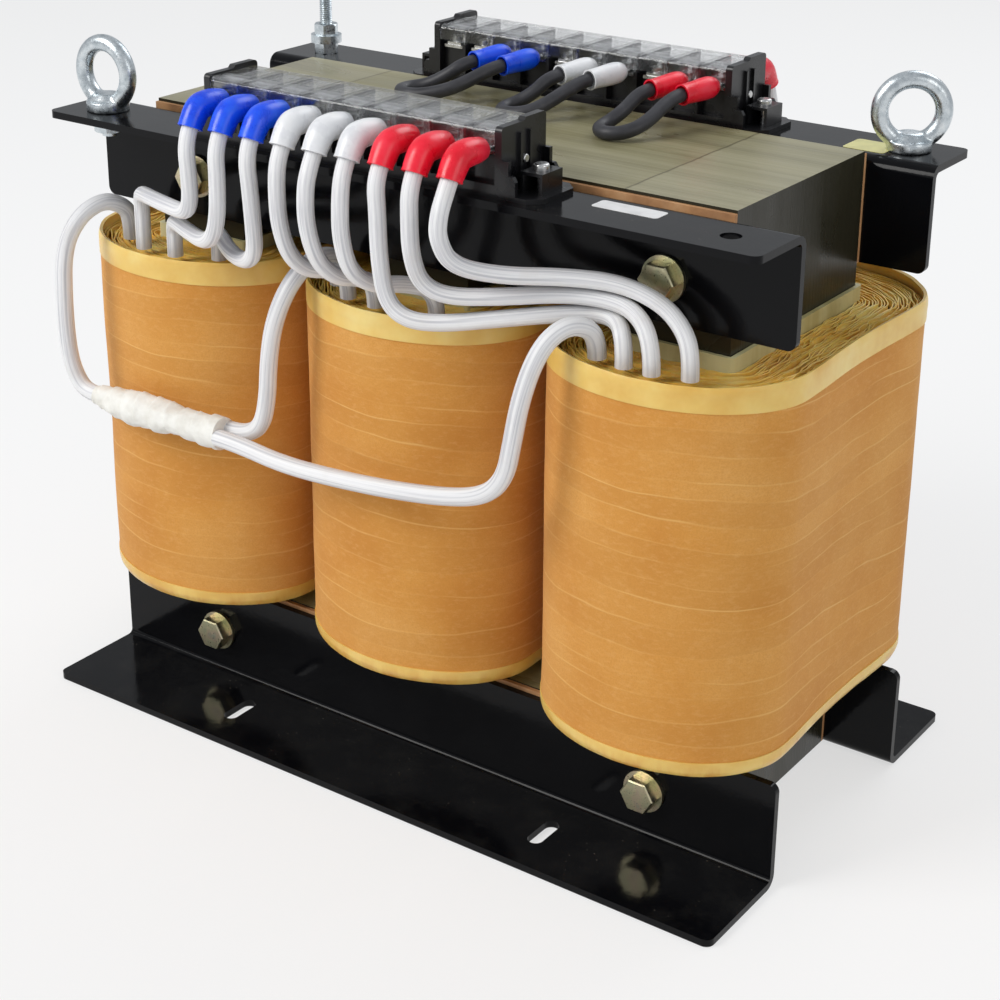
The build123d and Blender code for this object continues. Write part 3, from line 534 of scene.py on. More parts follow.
coil_places = {"left": -0.195, "middle": 0.0, "right": 0.195}
outline_count = 160
paper_thickness = 0.0008
layer_counts = {"outer": 15, "inner": 11}
for seed, (name, x) in enumerate(coil_places.items()):
    outer_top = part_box("outer_winding_" + name)[1]
    inner_low, inner_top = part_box("inner_winding_" + name)
    former_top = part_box("former_" + name)[1]
    wire_top, wire_bottom = inner_top.z - 0.0032, inner_low.z + 0.006
    # Half width and reach outside, waist, half width and reach of the hole
    sizes = {
        "outer": (outer_top.x - x - 0.0006, outer_top.y - 0.0006, outer_waist,
                  inner_top.x - x + 0.0003, inner_top.y + 0.0003),
        "inner": (inner_top.x - x - 0.0006, inner_top.y - 0.0006, inner_waist,
                  former_top.x - x + 0.0006, former_top.y + 0.0006),
    }
    for part, (half, reach, waist, hole_half, hole_reach) in sizes.items():
        papers = []
        paper_seed = seed + (3 if part == "inner" else 0)
        for layer in range(layer_counts[part]):
            share = layer / (layer_counts[part] - 1)
            layer_half = half - share * (half - hole_half - 0.0012)
            layer_reach = reach - share * (reach - hole_reach - 0.0012)
            layer_waist = waist + (inner_waist * 0.6 - waist) * share * 0.5
            points = oblong(layer_half, layer_reach, layer_waist, outline_count)
            rim = inner_top.z + 0.0008 * ((layer * 7 + seed * 3) % 4) - 0.0012
            if part == "outer" and layer < 4:
                rim = outer_top.z - 0.0008 * ((layer * 5 + seed) % 3)
            papers.append(paper_shell(
                f"{part}_layer_{layer}", points, wire_top - 0.006, rim, paper_thickness, paper_yellow,
                sway=0.0023 if layer > 1 else 0.0004, ripple=0.0014, seed=paper_seed, layer=layer,
            ))
        # The wound body that carries the layers, from rim to rim
        points = oblong(half - 0.0004, reach - 0.0004, waist, outline_count)
        body_thickness = (half - hole_half) * 0.96
        papers.append(paper_shell(
            f"{part}_body", points, wire_bottom - 0.004, wire_top, body_thickness, paper_yellow, seed=seed,
        ))
        piece = join_pieces(papers, f"{part}_layers_{name}")
        shift_mesh(piece, x, 0, 0)
        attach(piece, "root")
        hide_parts(f"{part}_winding_{name}")


# ---- Paper wraps ----
# Each coil is wrapped in brown crepe paper, wound on in turns that rise a little and overlap, so
# that the edge of every turn shows as a pale wandering line.

crepe, shader = new_material("brown_crepe_paper", "crepe_paper", (0.6, 0.28, 0.08), 0.82)
around = node(crepe, "ShaderNodeUVMap", uv_map="wrap")
axes = node(crepe, "ShaderNodeSeparateXYZ", {"Vector": (around, "UV")})
drift = node(
    crepe, "ShaderNodeTexNoise",
    {
        "Vector": (
            node(crepe, "ShaderNodeMapping", {"Vector": (around, "UV"), "Scale": (4.5, 9.0, 1.0)}),
            "Vector",
        ),
        "Scale": 1.0, "Detail": 3.0,
    },
)
drift_part = node(crepe, "ShaderNodeMath", {0: (drift, "Fac"), 1: 0.04}, operation="MULTIPLY")
height = node(crepe, "ShaderNodeMath", {0: (axes, "Y"), 1: (drift_part, 0)}, operation="ADD")
climb = node(crepe, "ShaderNodeMath", {0: (axes, "X"), 1: 0.03}, operation="MULTIPLY")
height = node(crepe, "ShaderNodeMath", {0: (height, 0), 1: (climb, 0)}, operation="ADD")
edge_place = node(
    crepe, "ShaderNodeTexVoronoi", {"W": (height, 0), "Scale": 66.0, "Randomness": 1.0},
    voronoi_dimensions="1D", feature="DISTANCE_TO_EDGE",
)
turn_shade = node(
    crepe, "ShaderNodeTexVoronoi", {"W": (height, 0), "Scale": 66.0, "Randomness": 1.0},
    voronoi_dimensions="1D", feature="F1",
)
fade = node(
    crepe, "ShaderNodeTexNoise",
    {
        "Vector": (
            node(crepe, "ShaderNodeMapping", {"Vector": (around, "UV"), "Scale": (9.0, 42.0, 1.0)}),
            "Vector",
        ),
        "Scale": 1.0, "Detail": 3.0,
    },
)
line = span(crepe, edge_place, "Distance", 0.0, 0.055, 1.0, 0.0)
line_seen = node(
    crepe, "ShaderNodeMath",
    {0: (line, "Result"), 1: (span(crepe, fade, "Fac", 0.44, 0.66, 0.1, 0.8), "Result")},
    operation="MULTIPLY",
)
fibres = grain(crepe, (170, 170, 420), 1.0, 5.0, 0.7)
cloud = grain(crepe, even, 13.0, 4.0)
sand = grain(crepe, even, 900.0, 4.0, 0.7)
tone = ramp(
    crepe, cloud, [(0.3, (0.6, 0.25, 0.042)), (0.5, (0.675, 0.312, 0.064)), (0.7, (0.73, 0.37, 0.095))],
)
tone = stain(crepe, tone, sand, 0.4, 0.72, 0.5, (0.53, 0.22, 0.035))
tone = blend_colours(
    crepe, (span(crepe, turn_shade, "Color", 0.2, 0.8, 0.0, 0.3), "Result"), (tone, 2),
    (0.52, 0.225, 0.042),
)
tone = stain(crepe, tone, fibres, 0.5, 0.78, 0.45, (0.76, 0.42, 0.15))
tone = blend_colours(crepe, (line_seen, 0), (tone, 2), (0.82, 0.5, 0.17))
link(crepe, tone, 2, shader, "Base Color")
shader.inputs["Sheen Weight"].default_value = 0.1
shader.inputs["Sheen Roughness"].default_value = 0.5
shader.inputs["Specular IOR Level"].default_value = 0.25
relief = roughen(crepe, shader, line_seen, 0, 0.3, 0.0006)
relief = roughen(crepe, shader, fibres, "Fac", 0.35, 0.0005, relief)
roughen(crepe, shader, sand, "Fac", 0.3, 0.0003, relief)


def close_seam(reach):
    """Merges the active mesh's points that lie within reach, and turns its faces outwards."""
    bpy.ops.object.mode_set(mode="EDIT")
    bpy.ops.mesh.select_all(action="SELECT")
    bpy.ops.mesh.remove_doubles(threshold=reach)
    bpy.ops.mesh.normals_make_consistent(inside=False)
    bpy.ops.object.mode_set(mode="OBJECT")


def wind_around(name, points, low, high, rows, swell, seed):
    """Upright skin round an outline with a soft uneven surface, and a map of it for patterns."""
    bpy.ops.object.select_all(action="DESELECT")
    bpy.ops.mesh.primitive_grid_add(
        x_subdivisions=len(points), y_subdivisions=rows, size=1, location=(0, 0, 0),
    )
    skin = bpy.context.object
    skin.name = name
    normals = outward(points)
    count = len(points)
    lengths = [0.0]
    for i in range(count):
        x0, y0 = points[i]
        x1, y1 = points[(i + 1) % count]
        lengths.append(lengths[-1] + hypot(x1 - x0, y1 - y0))
    cover = skin.data.uv_layers.new(name="wrap")
    for loop in skin.data.loops:
        vertex = skin.data.vertices[loop.vertex_index]
        i = round((vertex.co.x + 0.5) * count)
        v = vertex.co.y + 0.5
        cover.data[loop.index].uv = (lengths[i], low + (high - low) * v)
    for vertex in skin.data.vertices:
        i = round((vertex.co.x + 0.5) * count)
        v = vertex.co.y + 0.5
        x, y = points[i % count]
        nx, ny = normals[i % count]
        turn = 2 * pi * lengths[i] / lengths[-1]
        place = Vector((2.2 * cos(turn), 2.2 * sin(turn), 3.0 * v + 8 * seed))
        push = swell * (noise.noise(place) + 0.5 * noise.noise(place * 2.955))
        vertex.co = (x + nx * push, y + ny * push, low + (high - low) * v)
    close_seam(1e-6)
    return skin


for seed, (name, x) in enumerate(coil_places.items()):
    low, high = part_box("outer_wrap_" + name)
    points = oblong(high.x - x - 0.0003, high.y - 0.0003, outer_waist, 192)
    skin = wind_around("paper_wrap_" + name, points, low.z - 0.0005, high.z + 0.0005, 48, 0.0005, seed)
    give_wall(skin, 0.0018)
    bpy.ops.object.shade_smooth_by_angle(angle=radians(45))
    shift_mesh(skin, x, 0, 0)
    skin.data.materials.append(crepe)
    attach(skin, "root")
    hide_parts("outer_wrap_" + name)


# ---- End bands ----
# A turn of yellow varnished tape closes the wrap at each end. The upper one turns over a wavy rim,
# the lower one is soaked with varnish that ran down and set in darker drops.

tape, shader = new_material("yellow_varnished_tape", "yellow_tape", (0.8, 0.56, 0.19), 0.42)
clouds = grain(tape, even, 24.0, 4.0)
drips = grain(tape, (95, 95, 14), 1.0, 4.0, 0.6)
tone = ramp(
    tape, clouds, [(0.3, (0.72, 0.42, 0.075)), (0.52, (0.81, 0.55, 0.14)), (0.72, (0.85, 0.65, 0.22))],
)
spot = node(tape, "ShaderNodeSeparateXYZ", {"Vector": (node(tape, "ShaderNodeTexCoord"), "Object")})
lower = span(tape, spot, "Z", 0.088, 0.1, 1.0, 0.0)
soaked = node(
    tape, "ShaderNodeMath",
    {0: (span(tape, drips, "Fac", 0.42, 0.7, 0.0, 1.0), "Result"), 1: (lower, "Result")},
    operation="MULTIPLY",
)
tone = blend_colours(tape, (soaked, 0), (tone, "Color"), (0.62, 0.25, 0.03))
link(tape, tone, 2, shader, "Base Color")
shader.inputs["Subsurface Weight"].default_value = 0.2
shader.inputs["Subsurface Radius"].default_value = (0.004, 0.0025, 0.0008)
shader.inputs["Subsurface Scale"].default_value = 0.5
shader.inputs["Coat Weight"].default_value = 0.3
shader.inputs["Coat Roughness"].default_value = 0.25
relief = roughen(tape, shader, clouds, "Fac", 0.25, 0.0012)
roughen(tape, shader, drips, "Fac", 0.2, 0.0006, relief)

for seed, (name, x) in enumerate(coil_places.items()):
    low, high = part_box("end_bands_" + name)
    wrap_low, wrap_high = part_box("outer_wrap_" + name)
    bands = []
    for which, bottom, top in (
        ("top", wrap_high.z + 0.0003, high.z), ("bottom", low.z, wrap_low.z - 0.0003),
    ):
        points = oblong(high.x - x - 0.0004, high.y - 0.0004, outer_waist, 192)
        band = wind_around("band_" + which, points, bottom, top, 10, 0.0003, seed + 5)
        normals = outward(points)
        for vertex in band.data.vertices:
            spot = Vector((vertex.co.x * 42, vertex.co.y * 42, seed * 3.0))
            v = (vertex.co.z - bottom) / (top - bottom)
            out = Vector((vertex.co.x, vertex.co.y * 0.6, 0)).normalized()
            wavy = noise.noise(spot * 0.6) * 0.6 + 0.4 * noise.noise(spot * 1.7)
            if which == "top":
                rim = max(0.0, v - 0.55) / 0.45
                side = 1.0 if abs(vertex.co.y) < 0.09 else 0.35
                vertex.co += out * (0.0016 * side * wavy * rim - 0.0010 * rim ** 3)
                vertex.co.z += 0.0010 * wavy * rim - 0.0006 * rim
            else:
                rim = max(0.0, 0.6 - v) / 0.6
                vertex.co -= out * 0.0022 * rim ** 2
                vertex.co.z += 0.0007 * wavy * rim + 0.0004 * rim
        give_wall(band, 0.0022)
        bpy.ops.object.shade_smooth_by_angle(angle=radians(55))
        band.data.materials.append(tape)
        bands.append(band)
    piece = join_pieces(bands, "tape_bands_" + name)
    shift_mesh(piece, x, 0, 0)
    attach(piece, "root")
    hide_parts("end_bands_" + name)


# ---- Lifting eyes and earth stud ----
# Forged eye bolts in bright zinc at two opposite corners, and an M10 stud with washers and nuts at
# the rear left corner, where the protective earth is joined.

bright_zinc, shader = new_material("bright_zinc", "bright_zinc", (0.62, 0.66, 0.69), 0.3, 1.0)
forge = grain(bright_zinc, even, 130.0, 5.0, 0.6)
pits = grain(bright_zinc, even, 700.0, 3.0)
tone = ramp(
    bright_zinc, forge, [(0.3, (0.42, 0.47, 0.5)), (0.52, (0.62, 0.67, 0.7)), (0.72, (0.76, 0.79, 0.8))],
)
link(bright_zinc, tone, "Color", shader, "Base Color")
vary_gloss(bright_zinc, shader, pits, 0.3, 0.75, 0.22, 0.46)
relief = roughen(bright_zinc, shader, forge, "Fac", 0.35, 0.0006)
roughen(bright_zinc, shader, pits, "Fac", 0.2, 0.0003, relief)

corner_x, corner_y = 0.248, 0.1185
ring_radius, ring_section, ring_height = 0.021, 0.006, 0.026
collar_radius, collar_height = 0.015, 0.0072
neck_radius, neck_depth = 0.008, 0.006
shank_radius, shank_length = 0.0052, 0.018
eye_turn = {"front": 0.0, "rear": radians(34)}
for name, side in (("front", -1), ("rear", 1)):
    x, y = corner_x * side, corner_y * side
    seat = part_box("top_clamp_" + name)[1].z
    parts = []
    bpy.ops.object.select_all(action="DESELECT")
    bpy.ops.mesh.primitive_torus_add(
        major_radius=ring_radius, minor_radius=ring_section, major_segments=72, minor_segments=24,
        location=(0, 0, ring_height), rotation=(pi / 2, 0, 0),
    )
    parts.append(bpy.context.object)
    bpy.ops.mesh.primitive_cylinder_add(
        vertices=64, radius=collar_radius, depth=collar_height, location=(0, 0, collar_height / 2),
    )
    parts.append(bpy.context.object)
    bpy.ops.mesh.primitive_cone_add(
        vertices=64, radius1=0.0142, radius2=neck_radius, depth=neck_depth, location=(0, 0, 0.0092),
    )
    parts.append(bpy.context.object)
    eye = join_pieces(parts, "lifting_eye_" + name)
    bpy.ops.object.transform_apply(location=True, rotation=True, scale=True)
    melt = eye.modifiers.new("forging", "REMESH")
    melt.mode = "VOXEL"
    melt.voxel_size = 0.0009
    bpy.ops.object.modifier_apply(modifier="forging")
    ease = eye.modifiers.new("ease", "SMOOTH")
    ease.factor = 0.6
    ease.iterations = 9
    bpy.ops.object.modifier_apply(modifier="ease")
    for vertex in eye.data.vertices:
        if vertex.co.z < 0.0006:
            vertex.co.z = 0.0
    bpy.ops.object.shade_smooth()
    # Threaded shank below the flange
    bpy.ops.object.select_all(action="DESELECT")
    bpy.ops.mesh.primitive_cylinder_add(
        vertices=48, radius=shank_radius, depth=shank_length, location=(0, 0, -shank_length / 2),
    )
    shank = bpy.context.object
    eye = join_pieces([eye, shank], "lifting_eye_" + name)
    eye.data.transform(Matrix.Translation((x, y, seat)) @ Matrix.Rotation(eye_turn[name], 4, "Z"))
    eye.location = (0, 0, 0)
    eye.data.materials.clear()
    eye.data.materials.append(bright_zinc)
    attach(eye, "root")
    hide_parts("eye_bolt_" + name)
dress("eye_bolt_nuts", bright_zinc)
dress("earth_stud_hardware", bright_zinc)


def cut_thread(name, radius, pitch, low, high, place):
    """Round bar with a rolled thread: one tooth spun up as a screw round a core."""
    bpy.ops.object.select_all(action="DESELECT")
    bpy.ops.mesh.primitive_plane_add(size=1, location=(0, 0, 0))
    tooth = bpy.context.object
    tooth.name = name
    depth = 0.6 * pitch
    profile = bmesh.new()
    points = [profile.verts.new(p) for p in (
        (radius - depth, 0, 0), (radius - 0.1 * pitch, 0, pitch * 0.42), (radius, 0, pitch * 0.5),
        (radius - 0.1 * pitch, 0, pitch * 0.58), (radius - depth, 0, pitch),
    )]
    for a, b in zip(points, points[1:]):
        profile.edges.new((a, b))
    profile.to_mesh(tooth.data)
    profile.free()
    turns = int((high - low) / pitch) - 1
    screw = tooth.modifiers.new("thread", "SCREW")
    screw.axis = "Z"
    screw.screw_offset = pitch
    screw.iterations = turns
    screw.steps = screw.render_steps = 28
    screw.use_merge_vertices = True
    screw.merge_threshold = 1e-5
    bpy.ops.object.modifier_apply(modifier="thread")
    close_seam(1e-5)
    bpy.ops.object.shade_smooth_by_angle(angle=radians(40))
    tooth.data.transform(Matrix.Translation((0, 0, low)))
    bpy.ops.object.select_all(action="DESELECT")
    bpy.ops.mesh.primitive_cylinder_add(
        vertices=48, radius=radius - depth + 0.00005, depth=high - low, location=(0, 0, (low + high) / 2),
    )
    bar = bpy.context.object
    bpy.ops.object.mode_set(mode="EDIT")
    bpy.ops.mesh.select_all(action="DESELECT")
    bar_mesh = bmesh.from_edit_mesh(bar.data)
    for edge in bar_mesh.edges:
        edge.select = all(abs(vertex.co.z - (high - low) / 2) < 1e-6 for vertex in edge.verts)
    bmesh.update_edit_mesh(bar.data)
    bpy.ops.mesh.bevel(offset=0.0006, segments=2)
    bpy.ops.object.mode_set(mode="OBJECT")
    bpy.ops.object.transform_apply(location=True)
    bar = join_pieces([bar, tooth], name)
    bar.data.transform(Matrix.Translation(place))
    return bar


stud_radius, stud_pitch = 0.005, 0.0015
head_radius, head_height = 0.0098, 0.0065
flange_thickness = 0.005
flange_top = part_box("top_clamp_rear")[1].z
stud_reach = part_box("earth_stud")[1].z - flange_top
stud_place = (-corner_x, corner_y, flange_top)
stud = cut_thread("earth_stud_threaded", stud_radius, stud_pitch, -flange_thickness, stud_reach, stud_place)
head_middle = flange_top - flange_thickness - head_height / 2
bpy.ops.object.select_all(action="DESELECT")
bpy.ops.mesh.primitive_cylinder_add(
    vertices=6, radius=head_radius, depth=head_height, location=(-corner_x, corner_y, head_middle),
)
head = bpy.context.object
head_bevel = head.modifiers.new("edges", "BEVEL")
head_bevel.width = 0.0006
head_bevel.segments = 2
bpy.ops.object.modifier_apply(modifier="edges")
bpy.ops.object.transform_apply(location=True)
stud = join_pieces([stud, head], "earth_stud_threaded")
stud.data.materials.append(bright_zinc)
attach(stud, "root")
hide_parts("earth_stud")


# ---- Terminal blocks ----
# Two barrier terminal blocks with moulded black bases, tinned bars and screws, white marker cards
# and a clear cover that snaps over the barriers.

black_moulding, shader = new_material("black_moulded_plastic", "black_plastic", (0.012, 0.012, 0.014), 0.28)
moulded = grain(black_moulding, even, 900.0, 3.0)
flow = grain(black_moulding, even, 30.0, 3.0)
link(
    black_moulding,
    ramp(black_moulding, flow, [(0.35, (0.005, 0.005, 0.006)), (0.7, (0.012, 0.012, 0.014))]), "Color",
    shader, "Base Color",
)
vary_gloss(black_moulding, shader, flow, 0.3, 0.7, 0.2, 0.4)
roughen(black_moulding, shader, moulded, "Fac", 0.12, 0.0003)
for name in ("terminal_base_front", "terminal_base_rear"):
    dress(name, black_moulding)

clear, shader = new_material("clear_cover_plastic", "clear_plastic", (0.93, 0.95, 0.96), 0.04)
shader.inputs["Transmission Weight"].default_value = 1.0
shader.inputs["IOR"].default_value = 1.5
shader.inputs["Alpha"].default_value = 0.5
shader.inputs["Coat Weight"].default_value = 0.6
haze = grain(clear, even, 60.0, 3.0)
vary_gloss(clear, shader, haze, 0.3, 0.75, 0.01, 0.05)
roughen(clear, shader, haze, "Fac", 0.06, 0.0006)
for name in ("terminal_cover_front", "terminal_cover_rear"):
    dress(name, clear)

card, shader = new_material("white_marker_card", "white_card", (0.82, 0.83, 0.84), 0.6)
card_grain = grain(card, even, 240.0, 3.0)
link(
    card, ramp(card, card_grain, [(0.35, (0.72, 0.73, 0.75)), (0.65, (0.86, 0.87, 0.88))]), "Color", shader,
    "Base Color",
)
dress("terminal_markers", card)

tinned, shader = new_material("tinned_metal", "tinned_metal", (0.72, 0.72, 0.72), 0.28, 1.0)
tin_grain = grain(tinned, even, 300.0, 4.0)
link(
    tinned, ramp(tinned, tin_grain, [(0.3, (0.5, 0.5, 0.5)), (0.7, (0.82, 0.82, 0.81))]), "Color", shader,
    "Base Color",
)
vary_gloss(tinned, shader, tin_grain, 0.3, 0.7, 0.2, 0.4)
for name in ("terminal_bars", "cable_lugs", "block_screws"):
    dress(name, tinned)


# ---- Boots ----
# Soft vinyl caps pushed over the lugs and the first of each lead, blue, white and red for the
# three phases. They bend over the block's edge and end in a thin open lip.

def vinyl(name, slot, dark, plain, light):
    """Glossy soft vinyl with a little mottling."""
    mat, shader = new_material(name, slot, plain, 0.3)
    mottle = grain(mat, even, 70.0, 3.0)
    link(mat, ramp(mat, mottle, [(0.3, dark), (0.5, plain), (0.72, light)]), "Color", shader, "Base Color")
    vary_gloss(mat, shader, mottle, 0.3, 0.7, 0.22, 0.38)
    shader.inputs["Subsurface Weight"].default_value = 0.15
    shader.inputs["Subsurface Radius"].default_value = (0.003, 0.003, 0.003)
    shader.inputs["Subsurface Scale"].default_value = 0.4
    roughen(mat, shader, mottle, "Fac", 0.25, 0.0012)
    return mat


boot_vinyl = {
    "blue": vinyl("blue_vinyl", "blue_vinyl", (0.003, 0.05, 0.7), (0.005, 0.085, 0.86), (0.012, 0.13, 0.9)),
    "white": vinyl("white_vinyl", "white_vinyl", (0.72, 0.73, 0.76), (0.8, 0.81, 0.83), (0.86, 0.86, 0.87)),
    "red": vinyl("red_vinyl", "red_vinyl", (0.74, 0.004, 0.02), (0.88, 0.01, 0.035), (0.92, 0.035, 0.07)),
}


def round_boot(name, centres, radii, lip):
    """Soft tube along its centre line, open at the lead's end."""
    bore = 0.007
    line = bpy.data.curves.new(name, "CURVE")
    line.dimensions = "3D"
    spline = line.splines.new("NURBS")
    spline.points.add(len(centres) - 1)
    for point, centre, radius in zip(spline.points, centres, radii):
        point.co = (*centre, 1)
        point.radius = radius / bore
    spline.order_u = 3
    spline.use_endpoint_u = True
    line.bevel_depth = bore
    line.bevel_resolution = 8
    line.resolution_u = 6
    line.twist_mode = "MINIMUM"
    tube = bpy.data.objects.new(name, line)
    bpy.context.collection.objects.link(tube)
    bpy.ops.object.select_all(action="DESELECT")
    tube.select_set(True)
    bpy.context.view_layer.objects.active = tube
    bpy.ops.object.convert(target="MESH")
    tube = bpy.context.object
    close_seam(1e-6)
    give_wall(tube, lip)
    bpy.ops.object.shade_smooth_by_angle(angle=radians(50))
    return tube


lug_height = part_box("cable_lugs")[1].z - 0.001
lug_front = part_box("cable_lugs")[0].y
front_middle, front_pitch = -0.018, 0.026
rear_middle, rear_pitch = 0.0045, 0.0245
front_x = [front_middle + front_pitch * (i - 4) for i in range(9)]
rear_x = [rear_middle + rear_pitch * (i - 4.5) for i in range(10)]
boots = {"blue": [], "white": [], "red": []}

boot_straight, boot_bend, boot_tail = 0.012, 0.020, 0.003
boot_turn = radians(60)
boot_wall = 0.0011
elbow_radii = (0.0072, 0.0084, 0.0088, 0.0089, 0.0083, 0.0080, 0.0084)
jumper_boot_radii = (0.0064, 0.0073, 0.0077, 0.0077, 0.0072, 0.0069, 0.0073)
jumper_boot_length = 0.024


def boot_tip(x, y, toward):
    """Middle of the open end of an elbow boot that starts at x and y."""
    over = boot_straight + boot_bend * sin(boot_turn) + boot_tail * cos(boot_turn)
    down = boot_bend * (1 - cos(boot_turn)) + boot_tail * sin(boot_turn)
    return Vector((x, y + toward * over, lug_height - down))


def elbow(name, x, y, toward):
    """Elbow boot out of a block towards -Y or +Y and down over its edge."""
    z = lug_height
    end_y = y + toward * (boot_straight + boot_bend * sin(boot_turn))
    end_z = z - boot_bend * (1 - cos(boot_turn))
    tip = boot_tip(x, y, toward)
    corner_y = y + toward * (boot_straight + boot_bend * tan(boot_turn / 2))
    centres = [
        (x, y - toward * 0.0005, z), (x, y + toward * 0.005, z + 0.0002), (x, y + toward * 0.013, z + 0.0006),
        (x, corner_y - toward * 0.001, z - 0.0002), (x, end_y - toward * 0.0004, end_z + 0.0008),
        (x, tip.y - toward * 0.0006, tip.z + 0.0012), tuple(tip),
    ]
    return round_boot(name, centres, elbow_radii, boot_wall)


for i, x in enumerate(front_x):
    boots[("blue", "white", "red")[i // 3]].append(elbow(f"boot_front_{i + 1}", x, lug_front, -1))
rear_lug_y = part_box("cable_lugs")[1].y
boots["red"].append(elbow("boot_rear", rear_x[9], rear_lug_y, 1))
rear_block_y, lug_reach, boot_gap = 0.114, 0.0235, 0.0003
jumper_start_y = rear_block_y - lug_reach - boot_gap
lean = Vector((-8, -28, -2)).normalized()
jumper_ends = {}
for colour, pair in (("blue", (3, 4)), ("white", (6, 7)), ("red", (9, 10))):
    for position in pair:
        start = Vector((rear_x[position - 1], jumper_start_y, lug_height))
        knee = start + Vector((0, -0.006, 0))
        tip = knee + lean * jumper_boot_length
        jumper_ends[position] = tip
        centres = [
            start, start + Vector((0, -0.003, 0)), knee,
            knee + lean * 0.006, knee + lean * 0.014, tip - lean * 0.002, tip,
        ]
        boots[colour].append(round_boot(f"boot_jumper_{position}", centres, jumper_boot_radii, boot_wall))
for colour, pieces in boots.items():
    cap = join_pieces(pieces, "vinyl_boots_" + colour)
    cap.data.materials.clear()
    cap.data.materials.append(boot_vinyl[colour])
    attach(cap, "root")
    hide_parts("boots_" + colour)


# ---- Leads ----
# Stranded copper in a white varnished glass sleeve, its braid drawn out into fine ribs along the
# lead. Nine go from the front block down into the coils, and one from the rear block.

sleeve, shader = new_material("white_glass_sleeve", "white_sleeve", (0.78, 0.78, 0.8), 0.5)
along = node(sleeve, "ShaderNodeUVMap", uv_map="UVMap")
ribs_and_groove_shade = node(
    sleeve, "ShaderNodeTexNoise",
    {
        "Vector": (
            node(sleeve, "ShaderNodeMapping", {"Vector": (along, "UV"), "Scale": (2.5, 19.0, 1.0)}),
            "Vector",
        ),
        "Scale": 1.0, "Detail": 2.0, "Roughness": 0.5,
    },
)
soil = grain(sleeve, even, 38.0, 4.0)
# Partly painted shade: the ramp greys the sleeve where the rib pattern is low, standing in for the shade in
# the grooves between the ribs, over the braid's own pale tone
tone = ramp(sleeve, ribs_and_groove_shade, [(0.34, (0.56, 0.56, 0.59)), (0.5, (0.8, 0.8, 0.81)), (0.66, (0.87, 0.87, 0.87))])
tone = stain(sleeve, tone, soil, 0.56, 0.8, 0.3, (0.62, 0.57, 0.5))
link(sleeve, tone, 2, shader, "Base Color")
shader.inputs["Coat Weight"].default_value = 0.2
shader.inputs["Coat Roughness"].default_value = 0.3
shader.inputs["Subsurface Weight"].default_value = 0.1
shader.inputs["Subsurface Radius"].default_value = (0.002, 0.002, 0.002)
roughen(sleeve, shader, ribs_and_groove_shade, "Fac", 0.5, 0.0008)

coils_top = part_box("end_bands_left")[1].z
winding_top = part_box("inner_winding_left")[1].z


def above_coils(points):
    """Points in millimetres over the tops of the coils, in metres of the frame."""
    return [Vector((x / 1000, y / 1000, coils_top + height / 1000)) for x, y, height in points]


def entry(x, y):
    """Last run of a lead, straight down into the top of a winding."""
    return [Vector((x / 1000, y / 1000, winding_top + 0.016)), Vector((x / 1000, y / 1000, winding_top))]


def lay_cord(name, points, diameter, mat):
    """Round cord on one smooth line through its route."""
    line = bpy.data.curves.new(name, "CURVE")
    line.dimensions = "3D"
    spline = line.splines.new("NURBS")
    spline.points.add(len(points) - 1)
    for point, place in zip(spline.points, points):
        point.co = (*place, 1)
    spline.order_u = 3
    spline.use_endpoint_u = True
    line.resolution_u = 10
    line.bevel_depth = diameter / 2
    line.bevel_resolution = 7
    line.use_fill_caps = True
    line.twist_mode = "MINIMUM"
    line.materials.append(mat)
    cord = bpy.data.objects.new(name, line)
    bpy.context.collection.objects.link(cord)
    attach(cord, "root")
    return cord


front_routes = {
    1: [(-122, -172, 73), (-122.5, -171, 56), (-130, -168, 46), (-150, -160, 44), (-185, -146, 42),
        (-205, -134, 39), (-211, -128, 28)],
    2: [(-96, -173, 76), (-97, -173, 52), (-103, -171, 36), (-118, -164, 27), (-145, -151, 26),
        (-168, -139, 26), (-179, -130, 20)],
    3: [(-70, -171, 73), (-71, -168, 48), (-74, -164, 28), (-86, -159, 18), (-110, -148, 16.5),
        (-140, -127, 20)],
    4: [(-44, -175, 78), (-44, -174, 56), (-42, -168, 34), (-37, -157, 22), (-31, -141, 19)],
    5: [(-18, -178, 83), (-18, -178, 60), (-15, -172, 36), (-10, -160, 23), (-6, -143, 19)],
    6: [(8, -176, 78), (8, -176, 56), (10, -170, 33), (17, -156, 22), (27, -136, 20)],
    7: [(34, -172, 78), (34, -171, 48), (37, -169, 20), (50, -166, 9), (70, -157, 8), (100, -142, 13),
        (130, -126, 18), (154, -115, 21), (172, -115, 21)],
    8: [(60, -174, 78), (60, -173, 56), (63, -168, 36), (76, -158, 27), (104, -141, 28), (140, -124, 33),
        (172, -117, 33), (191, -119, 27)],
    9: [(86, -179, 86), (86, -181, 72), (91, -174, 54), (112, -152, 46), (144, -130, 46), (176, -118, 45),
        (203, -115, 37), (219, -117, 25)],
}
front_entries = {
    1: (-212, -127), 2: (-182, -127), 3: (-152, -115), 4: (-29, -125), 5: (-4, -128), 6: (38, -118),
    7: (184, -126), 8: (204, -127), 9: (227, -121),
}
# Lengths of the leads from boot to coil, as they are cut
for position, route in front_routes.items():
    tip = boot_tip(front_x[position - 1], lug_front, -1)
    points = [tip, tip + Vector((0, -cos(boot_turn), -sin(boot_turn))) * 0.010, *above_coils(route)]
    points += entry(*front_entries[position])
    lead = lay_cord(f"sleeved_lead_{position}", points, 0.011, sleeve)
    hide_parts(f"lead_front_{position}")

rear_route = [(119, 173, 73), (120, 171, 48), (129, 164, 28), (148, 150, 19), (167, 137, 19)]
tip = boot_tip(rear_x[9], rear_lug_y, 1)
points = [
    tip, tip + Vector((0, cos(boot_turn), -sin(boot_turn))) * 0.010, *above_coils(rear_route),
    *entry(181, 127),
]
lead = lay_cord("sleeved_lead_rear", points, 0.011, sleeve)
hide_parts("lead_rear")


